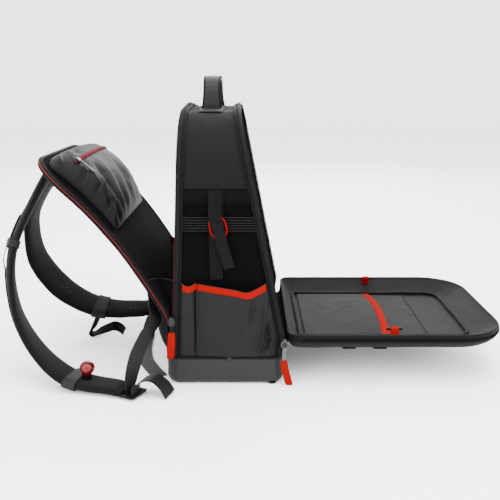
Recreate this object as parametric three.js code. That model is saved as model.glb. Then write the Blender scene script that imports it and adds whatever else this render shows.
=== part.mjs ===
// Tool backpack standing on its moulded base, with its front lid folded down flat and its padded
// back panel unzipped and leaning back, its two shoulder straps looping down to the floor.
// Millimetres. +X is the front of the bag, Y runs across it and +Z is up.
// The origin is the middle of the underside of the base.
import * as THREE from "three";

// Moulded base
const baseDepth = 184;
const baseWidth = 330;
const baseHeight = 43;
const baseCorner = 20;
const baseEdgeRound = 13;
const baseWall = 4;
const baseFlange = 13;
const trimHeight = 3.6;

// Side band that goes up one side, over the top and down the other, and its two rims
const bandHalfWidth = baseWidth / 2 - 5;
const bandTop = 420;
const bandCorner = 76;
const bandThickness = 5;
const rimWidth = 10;
const rimProud = 6;
const zipEndFront = 76;
const zipEndBack = 99;
const frontFoot = 88;
const frontAtZipEnd = 92;
const frontAtTop = 27;
const backFoot = -81;
const backAtTop = -68;
const coilWidth = 5;
const coilProud = 2;
const clearance = 0.35;

// Inside wall between the two compartments
const dividerX = -44;
const dividerThickness = 4;

// Front lid
const lidGap = 7;
const lidLength = 349;
const lidHalfWidth = bandHalfWidth + 4;
const lidRimHeight = 81;
const lidEndCorner = 78;
const lidHingeCorner = 18;
const lidHingeShare = 0.45;
const lidFloorInset = 48;
const lidFloorHeight = 59;
const lidBellyHeight = 49;
const lidPipe = 5;
const lidPocketEdge = 232;
const lidPocketHem = 156;
const hemWidth = 12;
const webbingThickness = 1.6;
const lidWebbing = 19;
const lidWebbingAt = [97, 146];
const toggleAt = 168;
const toggleLength = 26;

// Back panel
const panelLength = 373;
const panelHalfWidth = bandHalfWidth + 3;
const panelCorner = 70;
const panelInner = 4;
const panelOuter = 6;
const panelStart = 47.6;
const backPadHalf = panelHalfWidth - 55;
const backPadThickness = 14;
const lumbarHalf = panelHalfWidth - 61;
const lumbarThickness = 20;
const pocketBulge = 30;
const pocketSpan = 226;
const pocketLow = 0.585;
const pocketHigh = 0.945;
const pocketZipAt = 0.84;
const pocketZipWidth = 8;
const clothThickness = 2;

// Carrying handle
const handleX = -21;
const handleWidth = 31;
const handleSpan = 124;
const handleTop = bandTop + 50;
const handleThickness = 8;
const patchThickness = 1.4;
const patchLength = 46;

// Side fittings
const sidePocketTop = 166;
const sidePocketBulge = 13;
const sidePleat = 0.165;
const elasticLow = bandTop - 134;
const elasticHeight = 23;
const tapeLow = elasticLow - 41;
const tapeHeight = 24;
const sideStrapX = -9;
const sideStrapWidth = 19;
const ringOuter = 13;
const ringLength = 36;

// Shoulder straps
const padThickness = 14;
const padWidth = 60;
const padEndWidth = 42;
const webbingWidth = 25;
const chestWebbing = 20;
const buckleWidth = 38;
const buckleThickness = 4.4;
const buckleBars = [-13, -9, -1.6, 2.6, 8.6, 12.6];
const buckleSlot = 27.5;

const colours = {
  cloth: { color: 0x2b2c2e, roughness: 0.85, metalness: 0 },
  darkCloth: { color: 0x161718, roughness: 0.9, metalness: 0 },
  webbing: { color: 0x303234, roughness: 0.75, metalness: 0 },
  mesh: { color: 0x141415, roughness: 0.95, metalness: 0 },
  binding: { color: 0x1b1c1d, roughness: 0.7, metalness: 0 },
  base: { color: 0x3a3b3d, roughness: 0.6, metalness: 0 },
  red: { color: 0xe0281f, roughness: 0.6, metalness: 0 },
  redCoil: { color: 0xa02a34, roughness: 0.45, metalness: 0 },
  redGloss: { color: 0xa01820, roughness: 0.15, metalness: 0 },
  plastic: { color: 0x18191a, roughness: 0.45, metalness: 0 },
  metal: { color: 0x77797c, roughness: 0.3, metalness: 1 },
};

const bag = new THREE.Group();
bag.name = "tool_backpack";

function addPiece(name, geometry, colour) {
  const mesh = new THREE.Mesh(geometry, new THREE.MeshStandardMaterial(colours[colour]));
  mesh.name = name;
  bag.add(mesh);
  return mesh;
}

const point = (x, y, z) => new THREE.Vector3(x, y, z);
const mix = (a, b, share) => a + (b - a) * share;
const smooth = (share) => share * share * (3 - 2 * share);

// Reads a table of rows [share, value, ...] at a share, straight between rows.
function tableAt(table, share, column = 1) {
  const next = table.findIndex((row) => row[0] >= share);
  if (next <= 0) return table[next < 0 ? table.length - 1 : 0][column];
  const [low, high] = [table[next - 1], table[next]];
  return mix(low[column], high[column], (share - low[0]) / (high[0] - low[0]));
}

// A closed solid through sections of equal, even point count. Each section is a row of points
// followed by the facing row in reverse, so an end is closed by joining facing points.
function loft(sections, { ring = false } = {}) {
  const count = sections[0].length;
  const rows = sections.length;
  const positions = sections.flat().flatMap((p) => [p.x, p.y, p.z]);
  const index = [];
  for (let row = 0; row < (ring ? rows : rows - 1); row++) {
    const next = ((row + 1) % rows) * count;
    for (let j = 0; j < count; j++) {
      const [a, b] = [row * count + j, row * count + ((j + 1) % count)];
      const [c, d] = [next + ((j + 1) % count), next + j];
      index.push(a, b, c, a, c, d);
    }
  }
  if (!ring) {
    for (let j = 0; j < count / 2 - 1; j++) {
      const [a, b, c, d] = [j, j + 1, count - 2 - j, count - 1 - j];
      const end = (rows - 1) * count;
      index.push(a, c, b, a, d, c, end + a, end + b, end + c, end + a, end + c, end + d);
    }
  }
  const geometry = new THREE.BufferGeometry();
  geometry.setAttribute("position", new THREE.Float32BufferAttribute(positions, 3));
  geometry.setIndex(index);
  return facingOut(geometry);
}

// Turns the faces round if they point inwards.
function facingOut(geometry) {
  const at = geometry.getAttribute("position");
  const index = geometry.getIndex().array;
  const [a, b, c] = [new THREE.Vector3(), new THREE.Vector3(), new THREE.Vector3()];
  let volume = 0;
  for (let i = 0; i < index.length; i += 3) {
    a.fromBufferAttribute(at, index[i]);
    b.fromBufferAttribute(at, index[i + 1]);
    c.fromBufferAttribute(at, index[i + 2]);
    volume += a.dot(b.cross(c));
  }
  if (volume < 0) {
    for (let i = 0; i < index.length; i += 3) {
      [index[i + 1], index[i + 2]] = [index[i + 2], index[i + 1]];
    }
  }
  geometry.computeVertexNormals();
  return geometry;
}

const even = (steps) => Array.from({ length: steps + 1 }, (_, k) => k / steps);

// A sheet of cloth over a grid: place(u, v, out) gives the point at a height out above the surface.
function sheet(place, sharesU, sharesV, low, high) {
  const sections = sharesU.map((u) => {
    const upper = sharesV.map((v) => place(u, v, high));
    const lower = sharesV.map((v) => place(u, v, low)).reverse();
    return [...upper, ...lower];
  });
  return loft(sections);
}

// A rounded rectangle in plan, from x0 to x1 and across both halves, as one loop of points.
function planLoop(x0, x1, half, corner0, corner1, steps) {
  const loop = [];
  const corners = [
    [x1 - corner1, -(half - corner1), corner1, -90],
    [x1 - corner1, half - corner1, corner1, 0],
    [x0 + corner0, half - corner0, corner0, 90],
    [x0 + corner0, -(half - corner0), corner0, 180],
  ];
  for (const [cx, cy, radius, start] of corners) {
    for (let k = 0; k <= steps; k++) {
      const angle = THREE.MathUtils.degToRad(start + (90 * k) / steps);
      loop.push([cx + radius * Math.cos(angle), cy + radius * Math.sin(angle)]);
    }
  }
  return loop;
}

const baseLoop = (inset, steps = 5) =>
  planLoop(
    -baseDepth / 2 + inset,
    baseDepth / 2 - inset,
    baseWidth / 2 - inset,
    Math.max(2, baseCorner - inset),
    Math.max(2, baseCorner - inset),
    steps,
  );

const raised = (loop, z) => loop.map(([x, y]) => point(x, y, z));

// Moulded base: a deep tray with a rounded lower edge and an inward flange round its mouth.
function baseTray() {
  const rings = [];
  for (const turn of [15, 40, 65, 90]) {
    const angle = THREE.MathUtils.degToRad(turn);
    rings.push([baseEdgeRound * (1 - Math.sin(angle)), baseEdgeRound * (1 - Math.cos(angle))]);
  }
  rings.push([0, baseHeight], [baseFlange, baseHeight], [baseFlange, baseHeight - 4]);
  rings.push([baseWall, baseHeight - 12], [baseWall, baseEdgeRound], [baseEdgeRound, baseWall + 1]);
  const bottom = raised(baseLoop(baseEdgeRound), 0);
  return loft([bottom, ...rings.map(([inset, z]) => raised(baseLoop(inset), z))]);
}

// Bound edge lying on the flange, under the side band and the rims.
function baseTrim() {
  const low = baseHeight + clearance;
  const high = low + trimHeight;
  const rings = [
    raised(baseLoop(0.6), low),
    raised(baseLoop(-0.9), low + trimHeight * 0.35),
    raised(baseLoop(-0.9), low + trimHeight * 0.7),
    raised(baseLoop(0.6), high),
    raised(baseLoop(baseFlange - 0.6), high),
    raised(baseLoop(baseFlange - 0.6), low),
  ];
  return loft(rings, { ring: true });
}

const bandFoot = baseHeight + 2 * clearance + trimHeight;

// Front and back faces of the side band at a height.
function frontX(z) {
  if (z < zipEndFront) return mix(frontFoot, frontAtZipEnd, (z - bandFoot) / (zipEndFront - bandFoot));
  return mix(frontAtZipEnd, frontAtTop, (z - zipEndFront) / (bandTop + rimProud - zipEndFront));
}
const backX = (z) => mix(backFoot, backAtTop, (z - bandFoot) / (bandTop + rimProud - bandFoot));

// Stations up one side, over the top and down the other: [y, z, outward y, outward z].
function hoopStations(from, cornerSteps = 7, legHeights = [zipEndFront, zipEndBack]) {
  const leg = [from, ...legHeights.filter((z) => z > from + 1), bandTop - bandCorner - 60];
  const half = [];
  leg.forEach((z) => half.push([-bandHalfWidth, z, -1, 0]));
  for (let k = 0; k <= cornerSteps; k++) {
    const angle = THREE.MathUtils.degToRad(180 - (90 * k) / cornerSteps);
    const [ny, nz] = [Math.cos(angle), Math.sin(angle)];
    const y = -bandHalfWidth + bandCorner + bandCorner * ny;
    half.push([y, bandTop - bandCorner + bandCorner * nz, ny, nz]);
  }
  const other = half.map(([y, z, ny, nz]) => [-y, z, -ny, nz]).reverse();
  return [...half, ...other];
}

// A bar along the hoop: corners is a list of [edge x(z), offset along x, outward offset].
function hoopBar(corners, from, stations = hoopStations(from)) {
  const sections = stations.map(([y, z, ny, nz]) =>
    corners.map(([edge, along, out]) => {
      const height = z + nz * out;
      return point(edge(height) + along, y + ny * out, height);
    }),
  );
  return loft(sections);
}

const sideBand = () =>
  hoopBar(
    [
      [backX, 0, 0],
      [frontX, -rimWidth / 2, 0],
      [frontX, -rimWidth / 2, -bandThickness],
      [backX, 0, -bandThickness],
    ],
    bandFoot,
  );

// A rim stands on the band's outer face and turns over its edge; lip points away from the band.
function rim(edge, lip) {
  const inner = -lip * rimWidth;
  return hoopBar(
    [
      [edge, inner, clearance],
      [edge, inner + lip * 1.5, rimProud - 1.5],
      [edge, -lip * rimWidth * 0.45, rimProud],
      [edge, 0, rimProud - 2],
      [edge, 0, clearance],
      [edge, -lip * rimWidth * 0.45, clearance],
    ],
    bandFoot,
  );
}

// Zip tape and coil on the opening's edge, just outside a rim.
function openingCoil(edge, lip, from) {
  return hoopBar(
    [
      [edge, lip * clearance, -1.5],
      [edge, lip * (clearance + coilProud), -1],
      [edge, lip * (clearance + coilProud), coilWidth - 2],
      [edge, lip * clearance, coilWidth - 1.5],
    ],
    from,
    hoopStations(from, 7, [zipEndBack + 60]),
  );
}

// Wall between the compartments, seated inside the side band.
function divider() {
  const gap = bandThickness + clearance;
  const corners = [
    [() => dividerX, 0, -gap],
    [() => dividerX + dividerThickness, 0, -gap],
  ];
  const sections = hoopStations(bandFoot)
    .slice(0, hoopStations(bandFoot).length / 2)
    .map(([y, z, ny, nz]) => {
      const row = corners.map(([edge, , out]) => point(edge(), y + ny * out, z + nz * out));
      const facing = row.map((p) => point(p.x, -p.y, p.z)).reverse();
      return [...row, ...facing];
    });
  return loft(sections);
}

// Cloth that closes the foot of the front, below the lid's hinge.
const footPanelX = frontFoot - 7;
function frontFootPanel() {
  const half = bandHalfWidth - bandThickness - clearance;
  const sections = [bandFoot, zipEndFront - 2].map((z) => [
    point(footPanelX, -half, z),
    point(footPanelX, half, z),
    point(footPanelX + clothThickness, half, z),
    point(footPanelX + clothThickness, -half, z),
  ]);
  return loft(sections);
}

const lidHingeX = frontAtZipEnd + lidGap;
const lidEndX = lidHingeX + lidLength;

// The lid's outline in plan, moved inwards; the hinge side moves in less than the others.
function lidLoop(inset, steps = 8, hingeShare = lidHingeShare) {
  const share = inset > 0 ? hingeShare : 1;
  return planLoop(
    lidHingeX + inset * share,
    lidEndX - inset,
    lidHalfWidth - inset,
    Math.max(4, lidHingeCorner - inset * 0.3),
    Math.max(8, lidEndCorner - inset),
    steps,
  );
}

// Hinge: a gutter of cloth between the foot panel and the lid's rim.
function lidHinge() {
  const half = bandHalfWidth - bandThickness - 6;
  const left = footPanelX + clothThickness + clearance;
  const right = lidHingeX - clearance;
  const [mid, deep] = [(left + right) / 2, lidRimHeight - 28];
  const outer = [
    [left, zipEndFront - 3],
    [left, deep + 6],
    [mid - 2, deep],
    [mid + 2, deep],
    [right, deep + 6],
    [right, lidRimHeight - 6],
  ];
  const inset = [
    [1.5, 0],
    [1.5, 0.6],
    [0.6, 1.6],
    [-0.6, 1.6],
    [-1.5, 0.6],
    [-1.5, 0],
  ];
  const row = (y) => outer.map(([x, z]) => point(x, y, z));
  const facing = (y) => outer.map(([x, z], k) => point(x + inset[k][0], y, z + inset[k][1])).reverse();
  return loft([-half, half].map((y) => [...row(y), ...facing(y)]));
}

// The lid's outer face under the rim. Columns: inset from the outline, height.
const lidBelly = [
  [3, lidRimHeight - 15.5],
  [14, lidBellyHeight + 8],
  [34, lidBellyHeight + 2],
  [60, lidBellyHeight],
];

// Lid: a shallow padded dish, its lining sloping from the rim to a flat floor.
function lidShell() {
  const rimFoot = lidRimHeight - 14;
  const outside = [
    ...[...lidBelly].reverse(),
    [0.5, rimFoot + 3],
    [2.2, rimFoot + 6],
    [0.5, rimFoot + 9],
    [1, lidRimHeight - 1],
  ];
  const inside = [
    [3, lidRimHeight],
    [6, lidRimHeight - 1],
    [12, lidRimHeight - 6],
    [28, lidFloorHeight + 6],
    [lidFloorInset - 4, lidFloorHeight + 0.7],
    [lidFloorInset + 8, lidFloorHeight],
  ];
  return loft([...outside, ...inside].map(([inset, z]) => raised(lidLoop(inset), z)));
}

// Zip half round three sides of the lid's rim, from one end of the hinge to the other.
function lidCoil() {
  const steps = 8;
  const coilSeat = 0.95;
  const along = (inset) => {
    const loop = lidLoop(inset, steps);
    const ends = loop.slice(0, 2 * (steps + 1));
    const start = [lidHingeX + lidHingeCorner + 4, ends[0][1]];
    const finish = [start[0], ends[ends.length - 1][1]];
    return [start, ...ends, finish];
  };
  const [inner, outer] = [along(coilSeat), along(-coilProud / 2)];
  const low = lidRimHeight - 5 - coilWidth + 0.6;
  const high = low + coilWidth - 2.2;
  const sections = inner.map(([x, y], k) => [
    point(x, y, low),
    point(outer[k][0], outer[k][1], low),
    point(outer[k][0], outer[k][1], high),
    point(x, y, high),
  ]);
  return loft(sections);
}

// Piping round the lid's floor, where lining and wall are sewn together.
function lidPiping() {
  const half = lidPipe / 2;
  const middle = lidFloorHeight + half + 0.45;
  const rings = [0, 60, 120, 180, 240, 300].map((turn) => {
    const angle = THREE.MathUtils.degToRad(turn);
    const inset = lidFloorInset + 1 + half * Math.cos(angle);
    return raised(lidLoop(inset, 6), middle + half * Math.sin(angle));
  });
  return loft(rings, { ring: true });
}

// A flat pocket on the lid's floor, open towards the lid's end. Its free edge is at reach.
function lidPocket(reach, level, slack) {
  const x0 = lidHingeX + lidFloorInset * lidHingeShare + lidPipe + 4;
  const half = lidHalfWidth - lidFloorInset - lidPipe - 3;
  return sheet(
    (u, v, out) => {
      const crown = slack * Math.sin(Math.PI * v) * smooth(u);
      return point(mix(x0, lidHingeX + reach, u), mix(-half, half, v), level + crown + out);
    },
    even(5),
    even(12),
    0,
    clothThickness - 0.6,
  );
}

const pocketLevel = lidFloorHeight + clearance;
const pocketSlack = 2.6;

// Red binding folded over the free edge of the upper pocket.
function lidPocketBinding() {
  const half = lidHalfWidth - lidFloorInset - lidPipe - 3;
  const edge = lidHingeX + lidPocketHem + clearance;
  return sheet(
    (u, v, out) => {
      const crown = pocketSlack * 1.4 * Math.sin(Math.PI * v);
      return point(edge + hemWidth * u, mix(-half, half, v), pocketLevel + 2 + crown + out);
    },
    even(1),
    even(12),
    0,
    clothThickness,
  );
}

// Webbing across the outside of the lid, lying against its belly from side to side.
function lidOuterWebbing(x) {
  const insets = [15, 34, 60];
  const near = insets.map((inset) => [-(lidHalfWidth - inset), tableAt(lidBelly, inset)]);
  const rows = [...near, ...near.map(([y, z]) => [-y, z]).reverse()];
  const [x0, x1] = [lidHingeX + x - lidWebbing / 2, lidHingeX + x + lidWebbing / 2];
  const sections = rows.map(([y, belly]) => {
    const z = belly - clearance * 1.1;
    return [
      point(x0, y, z),
      point(x1, y, z),
      point(x1, y, z - 2 * webbingThickness),
      point(x0, y, z - 2 * webbingThickness),
    ];
  });
  return loft(sections);
}

// Red tab standing on the lid's wall and the black bar that it holds.
function lidToggleTab(side) {
  const x = lidHingeX + toggleAt;
  const y = side * (lidHalfWidth - 17);
  const rows = [
    [0, lidRimHeight - 8.7],
    [-1.5, lidRimHeight - 4],
    [-4, lidRimHeight + 1.2],
  ];
  const sections = rows.map(([move, z]) => [
    point(x - 6, y + side * move, z),
    point(x + 6, y + side * move, z),
    point(x + 6, y + side * (move - 2), z),
    point(x - 6, y + side * (move - 2), z),
  ]);
  return loft(sections);
}

function lidToggleBar(side) {
  const x = lidHingeX + toggleAt;
  const y = side * (lidHalfWidth - 21.9);
  const shape = new THREE.CylinderGeometry(2.3, 2.3, toggleLength, 8).rotateZ(Math.PI / 2);
  const bar = new THREE.BufferGeometry().setAttribute("position", shape.getAttribute("position"));
  return bar.setIndex(shape.getIndex()).translate(x, y, lidRimHeight + 3.85);
}

// The back panel's line from its foot to its top: it stands, bends over the zip's end and leans back.
// Columns: share of the length, lean above the floor in degrees.
const panelFoot = backFoot - clearance - panelInner;
const panelLean = [
  [0, 88],
  [0.12, 88],
  [0.2, 61],
  [0.45, 56],
  [0.7, 49],
  [1, 43],
];
const panelSteps = 15;
const panelStations = even(panelSteps);
const panelLine = (() => {
  const fine = 12;
  const step = panelLength / panelSteps / fine;
  const line = [];
  let [x, z] = [panelFoot, panelStart];
  for (let k = 0; k <= panelSteps * fine; k++) {
    const lean = THREE.MathUtils.degToRad(tableAt(panelLean, k / panelSteps / fine));
    if (k % fine === 0) line.push({ at: point(x, 0, z), normal: point(Math.sin(lean), 0, Math.cos(lean)) });
    x -= step * Math.cos(lean);
    z += step * Math.sin(lean);
  }
  return line;
})();

// The point at a share of the panel's length, at y, raised from the line towards the bag.
function onPanel(share, y, out) {
  const place = Math.min(share, 1) * panelSteps;
  const k = Math.min(panelSteps - 1, Math.floor(place));
  const [low, high] = [panelLine[k], panelLine[k + 1]];
  const from = low.at.clone().addScaledVector(low.normal, out);
  const to = high.at.clone().addScaledVector(high.normal, out);
  return from.lerp(to, place - k).setY(y);
}

// The panel's own stations between two shares, with the two themselves and any extra ones.
function sharesBetween(from, to, extra = []) {
  const near = 0.3 / panelSteps;
  const kept = panelStations.filter((share) => share > from + near && share < to - near);
  return [from, ...kept, to, ...extra].sort((a, b) => a - b);
}

// Half the panel's width at a share of its length, moved in by inset, with round top corners.
function panelHalf(share, inset = 0) {
  const fromTop = (1 - share) * panelLength - inset;
  const radius = panelCorner - inset;
  const half = panelHalfWidth - inset;
  if (fromTop >= radius) return half;
  const drop = radius - Math.max(0, fromTop);
  return half - radius + Math.sqrt(Math.max(0, radius * radius - drop * drop));
}

// Shares that round the top corners.
const panelCornerShares = [0.28, 0.5, 0.7, 0.86, 0.96].map(
  (turn) => 1 - (panelCorner / panelLength) * (1 - Math.sin((Math.PI / 2) * turn)),
);

// Padded back panel.
function backPanel() {
  const sections = sharesBetween(0, 1, panelCornerShares).map((share) => {
    const half = panelHalf(share);
    const across = [-1, -0.96, -0.5, 0, 0.5, 0.96, 1];
    const low = across.map((part) => onPanel(share, part * half, part * part < 1 ? -panelOuter : -2));
    const high = across.map((part) => onPanel(share, part * half, part * part < 1 ? panelInner : 2));
    return [...low, ...high.reverse()];
  });
  return loft(sections);
}

// Zip half along the panel's edge, from the near end of the zip over the top to the far end.
function panelCoil() {
  const from = (zipEndBack - panelStart) / panelLength;
  const shares = sharesBetween(from, 1, panelCornerShares);
  const rows = [];
  for (const side of [-1, 1]) {
    const leg = shares.map((share) => [share, side * panelHalf(share)]);
    rows.push(...(side < 0 ? leg : leg.reverse()));
  }
  const centre = [1 - panelCorner / panelLength, panelHalfWidth - panelCorner];
  const outward = ([share, y]) => {
    const up = Math.max(0, share - centre[0]) * panelLength;
    const out = Math.max(0, Math.abs(y) - centre[1]);
    const length = Math.hypot(up, out) || 1;
    return [up / length, (Math.sign(y) * out) / length];
  };
  const sections = rows.map((row) => {
    const [up, out] = outward(row);
    const at = (move, level) => {
      const share = row[0] + (up * move) / panelLength;
      const past = Math.max(0, share - 1) * panelLength;
      const p = onPanel(Math.min(1, share), row[1] + out * move, level);
      const lean = THREE.MathUtils.degToRad(tableAt(panelLean, 1));
      return point(p.x - past * Math.cos(lean), p.y, p.z + past * Math.sin(lean));
    };
    return [at(clearance, -1), at(clearance, 3), at(coilProud + 1, 2.5), at(coilProud + 1, -0.5)];
  });
  return loft(sections);
}

// How far the back pocket stands off the panel at a share of the panel's length and at y.
function pocketLift(share, y) {
  const part = THREE.MathUtils.clamp((share - pocketLow) / (pocketHigh - pocketLow), 0, 1);
  const rise = Math.pow(Math.sin(Math.PI * part), 0.55);
  const side = Math.pow(Math.max(0, 1 - Math.pow(Math.abs((2 * y) / pocketSpan), 4)), 0.7);
  return panelInner + clearance + pocketBulge * rise * side;
}

// Bellows pocket on the inner face of the back panel: thin cloth standing off the panel.
function backPocket() {
  const zipEnd = pocketZipAt + pocketZipWidth / panelLength;
  const shares = sharesBetween(pocketLow, pocketHigh, [pocketLow + 0.012, pocketZipAt, zipEnd, pocketHigh - 0.012]);
  const reach = pocketSpan / 2;
  return sheet(
    (share, v, out) => onPanel(share, mix(-reach, reach, v), pocketLift(share, mix(-reach, reach, v)) + out),
    shares,
    even(16),
    0,
    clothThickness,
  );
}

// Red zip across the back pocket, near its top.
function pocketZip() {
  const reach = pocketSpan / 2;
  const zipEnd = pocketZipAt + pocketZipWidth / panelLength;
  return sheet(
    (share, v, out) => {
      const y = mix(-reach, reach, v);
      return onPanel(share, y, pocketLift(share, y) + clothThickness + 2 * clearance + out);
    },
    [pocketZipAt, zipEnd],
    even(16).slice(1, -1),
    0,
    1.6,
  );
}

// Air-mesh back pad on the outer face, crowned, with the yoke that holds the straps above it.
function outerPad(low, high, half, thickness) {
  const shares = sharesBetween(low, high);
  const sections = shares.map((share) => {
    const end = Math.pow(Math.sin(Math.PI * mix(0.12, 0.88, (share - low) / (high - low))), 0.4);
    const across = [-1, -0.9, -0.45, 0, 0.45, 0.9, 1];
    const rise = [0.35, 0.85, 1, 0.8, 1, 0.85, 0.35];
    const seat = -panelOuter - clearance;
    const inner = across.map((part) => onPanel(share, part * half, seat));
    const outer = across.map((part, n) => onPanel(share, part * half, seat - thickness * rise[n] * end));
    return [...inner, ...outer.reverse()];
  });
  return loft(sections);
}

// Stations of a path, smoothed through rows [x, y, z, across x, across y, across z, width].
function pathStations(rows, steps) {
  const centre = new THREE.CatmullRomCurve3(rows.map((r) => point(r[0], r[1], r[2])), false, "centripetal");
  const stations = [];
  for (let k = 0; k <= steps; k++) {
    const share = k / steps;
    const place = share * (rows.length - 1);
    const low = Math.min(rows.length - 2, Math.floor(place));
    const [a, b] = [rows[low], rows[low + 1]];
    const part = place - low;
    const along = centre.getTangent(share);
    const across = point(mix(a[3], b[3], part), mix(a[4], b[4], part), mix(a[5], b[5], part));
    across.addScaledVector(along, -across.dot(along)).normalize();
    const normal = new THREE.Vector3().crossVectors(along, across);
    stations.push({ at: centre.getPoint(share), across, normal, width: mix(a[6], b[6], part) });
  }
  return stations;
}

const offset = (station, side, out) =>
  station.at.clone().addScaledVector(station.across, side).addScaledVector(station.normal, out);

// Flat webbing along a path.
function webbing(rows, steps, thickness = webbingThickness) {
  const half = thickness / 2;
  return loft(
    pathStations(rows, steps).map((s) => [
      offset(s, -s.width / 2, -half),
      offset(s, s.width / 2, -half),
      offset(s, s.width / 2, half),
      offset(s, -s.width / 2, half),
    ]),
  );
}

// Half of a padded strap's section: share across, share of half the thickness.
const strapShape = [
  [-1, 0.3],
  [-0.82, 0.86],
  [0, 1],
  [0.82, 0.86],
  [1, 0.3],
];

// Foam-filled strap along a path, with a crowned face and bound edges.
function paddedStrap(rows, steps) {
  const half = padThickness / 2;
  const shape = strapShape;
  return loft(
    pathStations(rows, steps).map((s, k) => {
      const end = k === 0 || k === steps ? 0.6 : 1;
      const low = shape.map(([side, out]) => offset(s, (side * s.width) / 2, -out * half * end));
      const high = shape.map(([side, out]) => offset(s, (side * s.width) / 2, out * half * end));
      return [...low, ...high.reverse()];
    }),
  );
}

// A band of webbing wrapped right round the padded strap, from one of its stations to the next.
function strapWrap(rows, steps, first) {
  const [from, to] = pathStations(rows, steps).slice(first, first + 2);
  const half = padThickness / 2;
  const shape = strapShape.map(([side, out]) => [side, out * half]);
  const loop = [...shape.map(([side, out]) => [side, -out]), ...shape.reverse()];
  const sections = loop.map(([side, out]) => {
    const put = (s, grow) => {
      const reach = (side * s.width) / 2 + Math.sign(side) * grow * Math.abs(side) ** 4;
      return offset(s, reach, out + Math.sign(out) * grow * 1.1);
    };
    const [low, high] = [clearance, clearance + webbingThickness];
    return [put(from, low), put(to, low), put(to, high), put(from, high)];
  });
  return loft(sections, { ring: true });
}

// A ladder buckle: a plate of cells between its bars, two cells left open as slots.
function ladderBuckle(frame) {
  const across = [-buckleWidth / 2, -buckleSlot / 2, buckleSlot / 2, buckleWidth / 2];
  const half = buckleThickness / 2;
  const filled = (i, j) => i >= 0 && i < 5 && j >= 0 && j < 3 && !(j === 1 && (i === 1 || i === 3));
  const corners = [];
  const quad = (...list) => {
    const [a, b, c, d] = list.map(([i, j, side]) => [buckleBars[i], across[j], side * half]);
    corners.push(...a, ...b, ...c, ...a, ...c, ...d);
  };
  for (let i = 0; i < 5; i++) {
    for (let j = 0; j < 3; j++) {
      if (!filled(i, j)) continue;
      quad([i, j, 1], [i + 1, j, 1], [i + 1, j + 1, 1], [i, j + 1, 1]);
      quad([i, j, -1], [i, j + 1, -1], [i + 1, j + 1, -1], [i + 1, j, -1]);
      if (!filled(i - 1, j)) quad([i, j, -1], [i, j, 1], [i, j + 1, 1], [i, j + 1, -1]);
      if (!filled(i + 1, j)) quad([i + 1, j, -1], [i + 1, j + 1, -1], [i + 1, j + 1, 1], [i + 1, j, 1]);
      if (!filled(i, j - 1)) quad([i, j, -1], [i + 1, j, -1], [i + 1, j, 1], [i, j, 1]);
      if (!filled(i, j + 1)) quad([i, j + 1, -1], [i, j + 1, 1], [i + 1, j + 1, 1], [i + 1, j + 1, -1]);
    }
  }
  const solid = new THREE.BufferGeometry();
  solid.setAttribute("position", new THREE.Float32BufferAttribute(corners, 3));
  solid.computeVertexNormals();
  const turn = new THREE.Matrix4().makeBasis(frame.along, frame.across, frame.up);
  return solid.applyMatrix4(turn.setPosition(frame.origin));
}

// The buckle's own frame from its place, the way the strap runs into it and its tilt.
function buckleFrame(origin, along, up) {
  const a = along.clone().normalize();
  const across = new THREE.Vector3().crossVectors(up, a).normalize();
  return { origin, along: a, across, up: new THREE.Vector3().crossVectors(a, across) };
}

// A row of a webbing's path given in a buckle's frame, its width turned in the buckle's plane.
function inBuckle(frame, along, out, shift = 0, turn = 0) {
  const at = frame.origin.clone().addScaledVector(frame.along, along).addScaledVector(frame.up, out);
  at.addScaledVector(frame.across, shift);
  const across = frame.across.clone().multiplyScalar(Math.cos(turn)).addScaledVector(frame.along, -Math.sin(turn));
  return [...at.toArray(), ...across.toArray(), webbingWidth];
}

// Padded carrying handle across the top, standing on its two patches.
function topHandle() {
  const half = handleThickness / 2;
  const foot = bandTop + 2 * clearance + patchThickness;
  const crest = handleTop - half;
  const leg = [
    [handleSpan / 2, foot, 0.55],
    [handleSpan / 2 - 1, foot + 8, 0.8],
    [handleSpan / 2 - 4, mix(foot, crest, 0.55), 1],
    [handleSpan / 2 - 12, mix(foot, crest, 0.83), 1],
    [handleSpan / 2 - 25, crest - 1.2, 1],
  ];
  const rows = [...leg.map(([y, z, t]) => [-y, z, t]), [0, crest, 1], ...leg.reverse()];
  const sections = rows.map(([y, z, share], k) => {
    const before = rows[Math.max(0, k - 1)];
    const after = rows[Math.min(rows.length - 1, k + 1)];
    const along = new THREE.Vector2(after[0] - before[0], after[1] - before[1]).normalize();
    if (k === 0 || k === rows.length - 1) along.set(0, k === 0 ? 1 : -1);
    const [ny, nz] = [-along.y * half * share, along.x * half * share];
    const wide = (handleWidth / 2) * mix(1, 0.94, share);
    return [
      point(handleX - wide, y - ny * 0.3, z - nz * 0.3),
      point(handleX - wide * 0.7, y - ny, z - nz),
      point(handleX + wide * 0.7, y - ny, z - nz),
      point(handleX + wide, y - ny * 0.3, z - nz * 0.3),
      point(handleX + wide, y + ny * 0.3, z + nz * 0.3),
      point(handleX + wide * 0.7, y + ny, z + nz),
      point(handleX - wide * 0.7, y + ny, z + nz),
      point(handleX - wide, y + ny * 0.3, z + nz * 0.3),
    ];
  });
  return loft(sections);
}

// Patch that holds one end of the handle, sewn over the band's shoulder.
function handlePatch(side) {
  const stations = hoopStations(bandFoot);
  const middle = stations.length / 2;
  const kept = [stations[middle - 2], stations[middle - 1]].map(([y, z, ny, nz]) => [-Math.abs(y), z, ny, nz]);
  const flat = [-(handleSpan / 2 - 12), bandTop, 0, 1];
  const wide = handleWidth / 2 + 2;
  const sections = [...kept, flat].map(([y, z, ny, nz]) => {
    const at = (x, out) => point(x, -side * (y + ny * out), z + nz * out);
    const low = clearance;
    const high = clearance + patchThickness;
    return [
      at(handleX - wide, low),
      at(handleX + wide, low),
      at(handleX + wide, high),
      at(handleX - wide, high),
    ];
  });
  return loft(sections);
}

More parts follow.
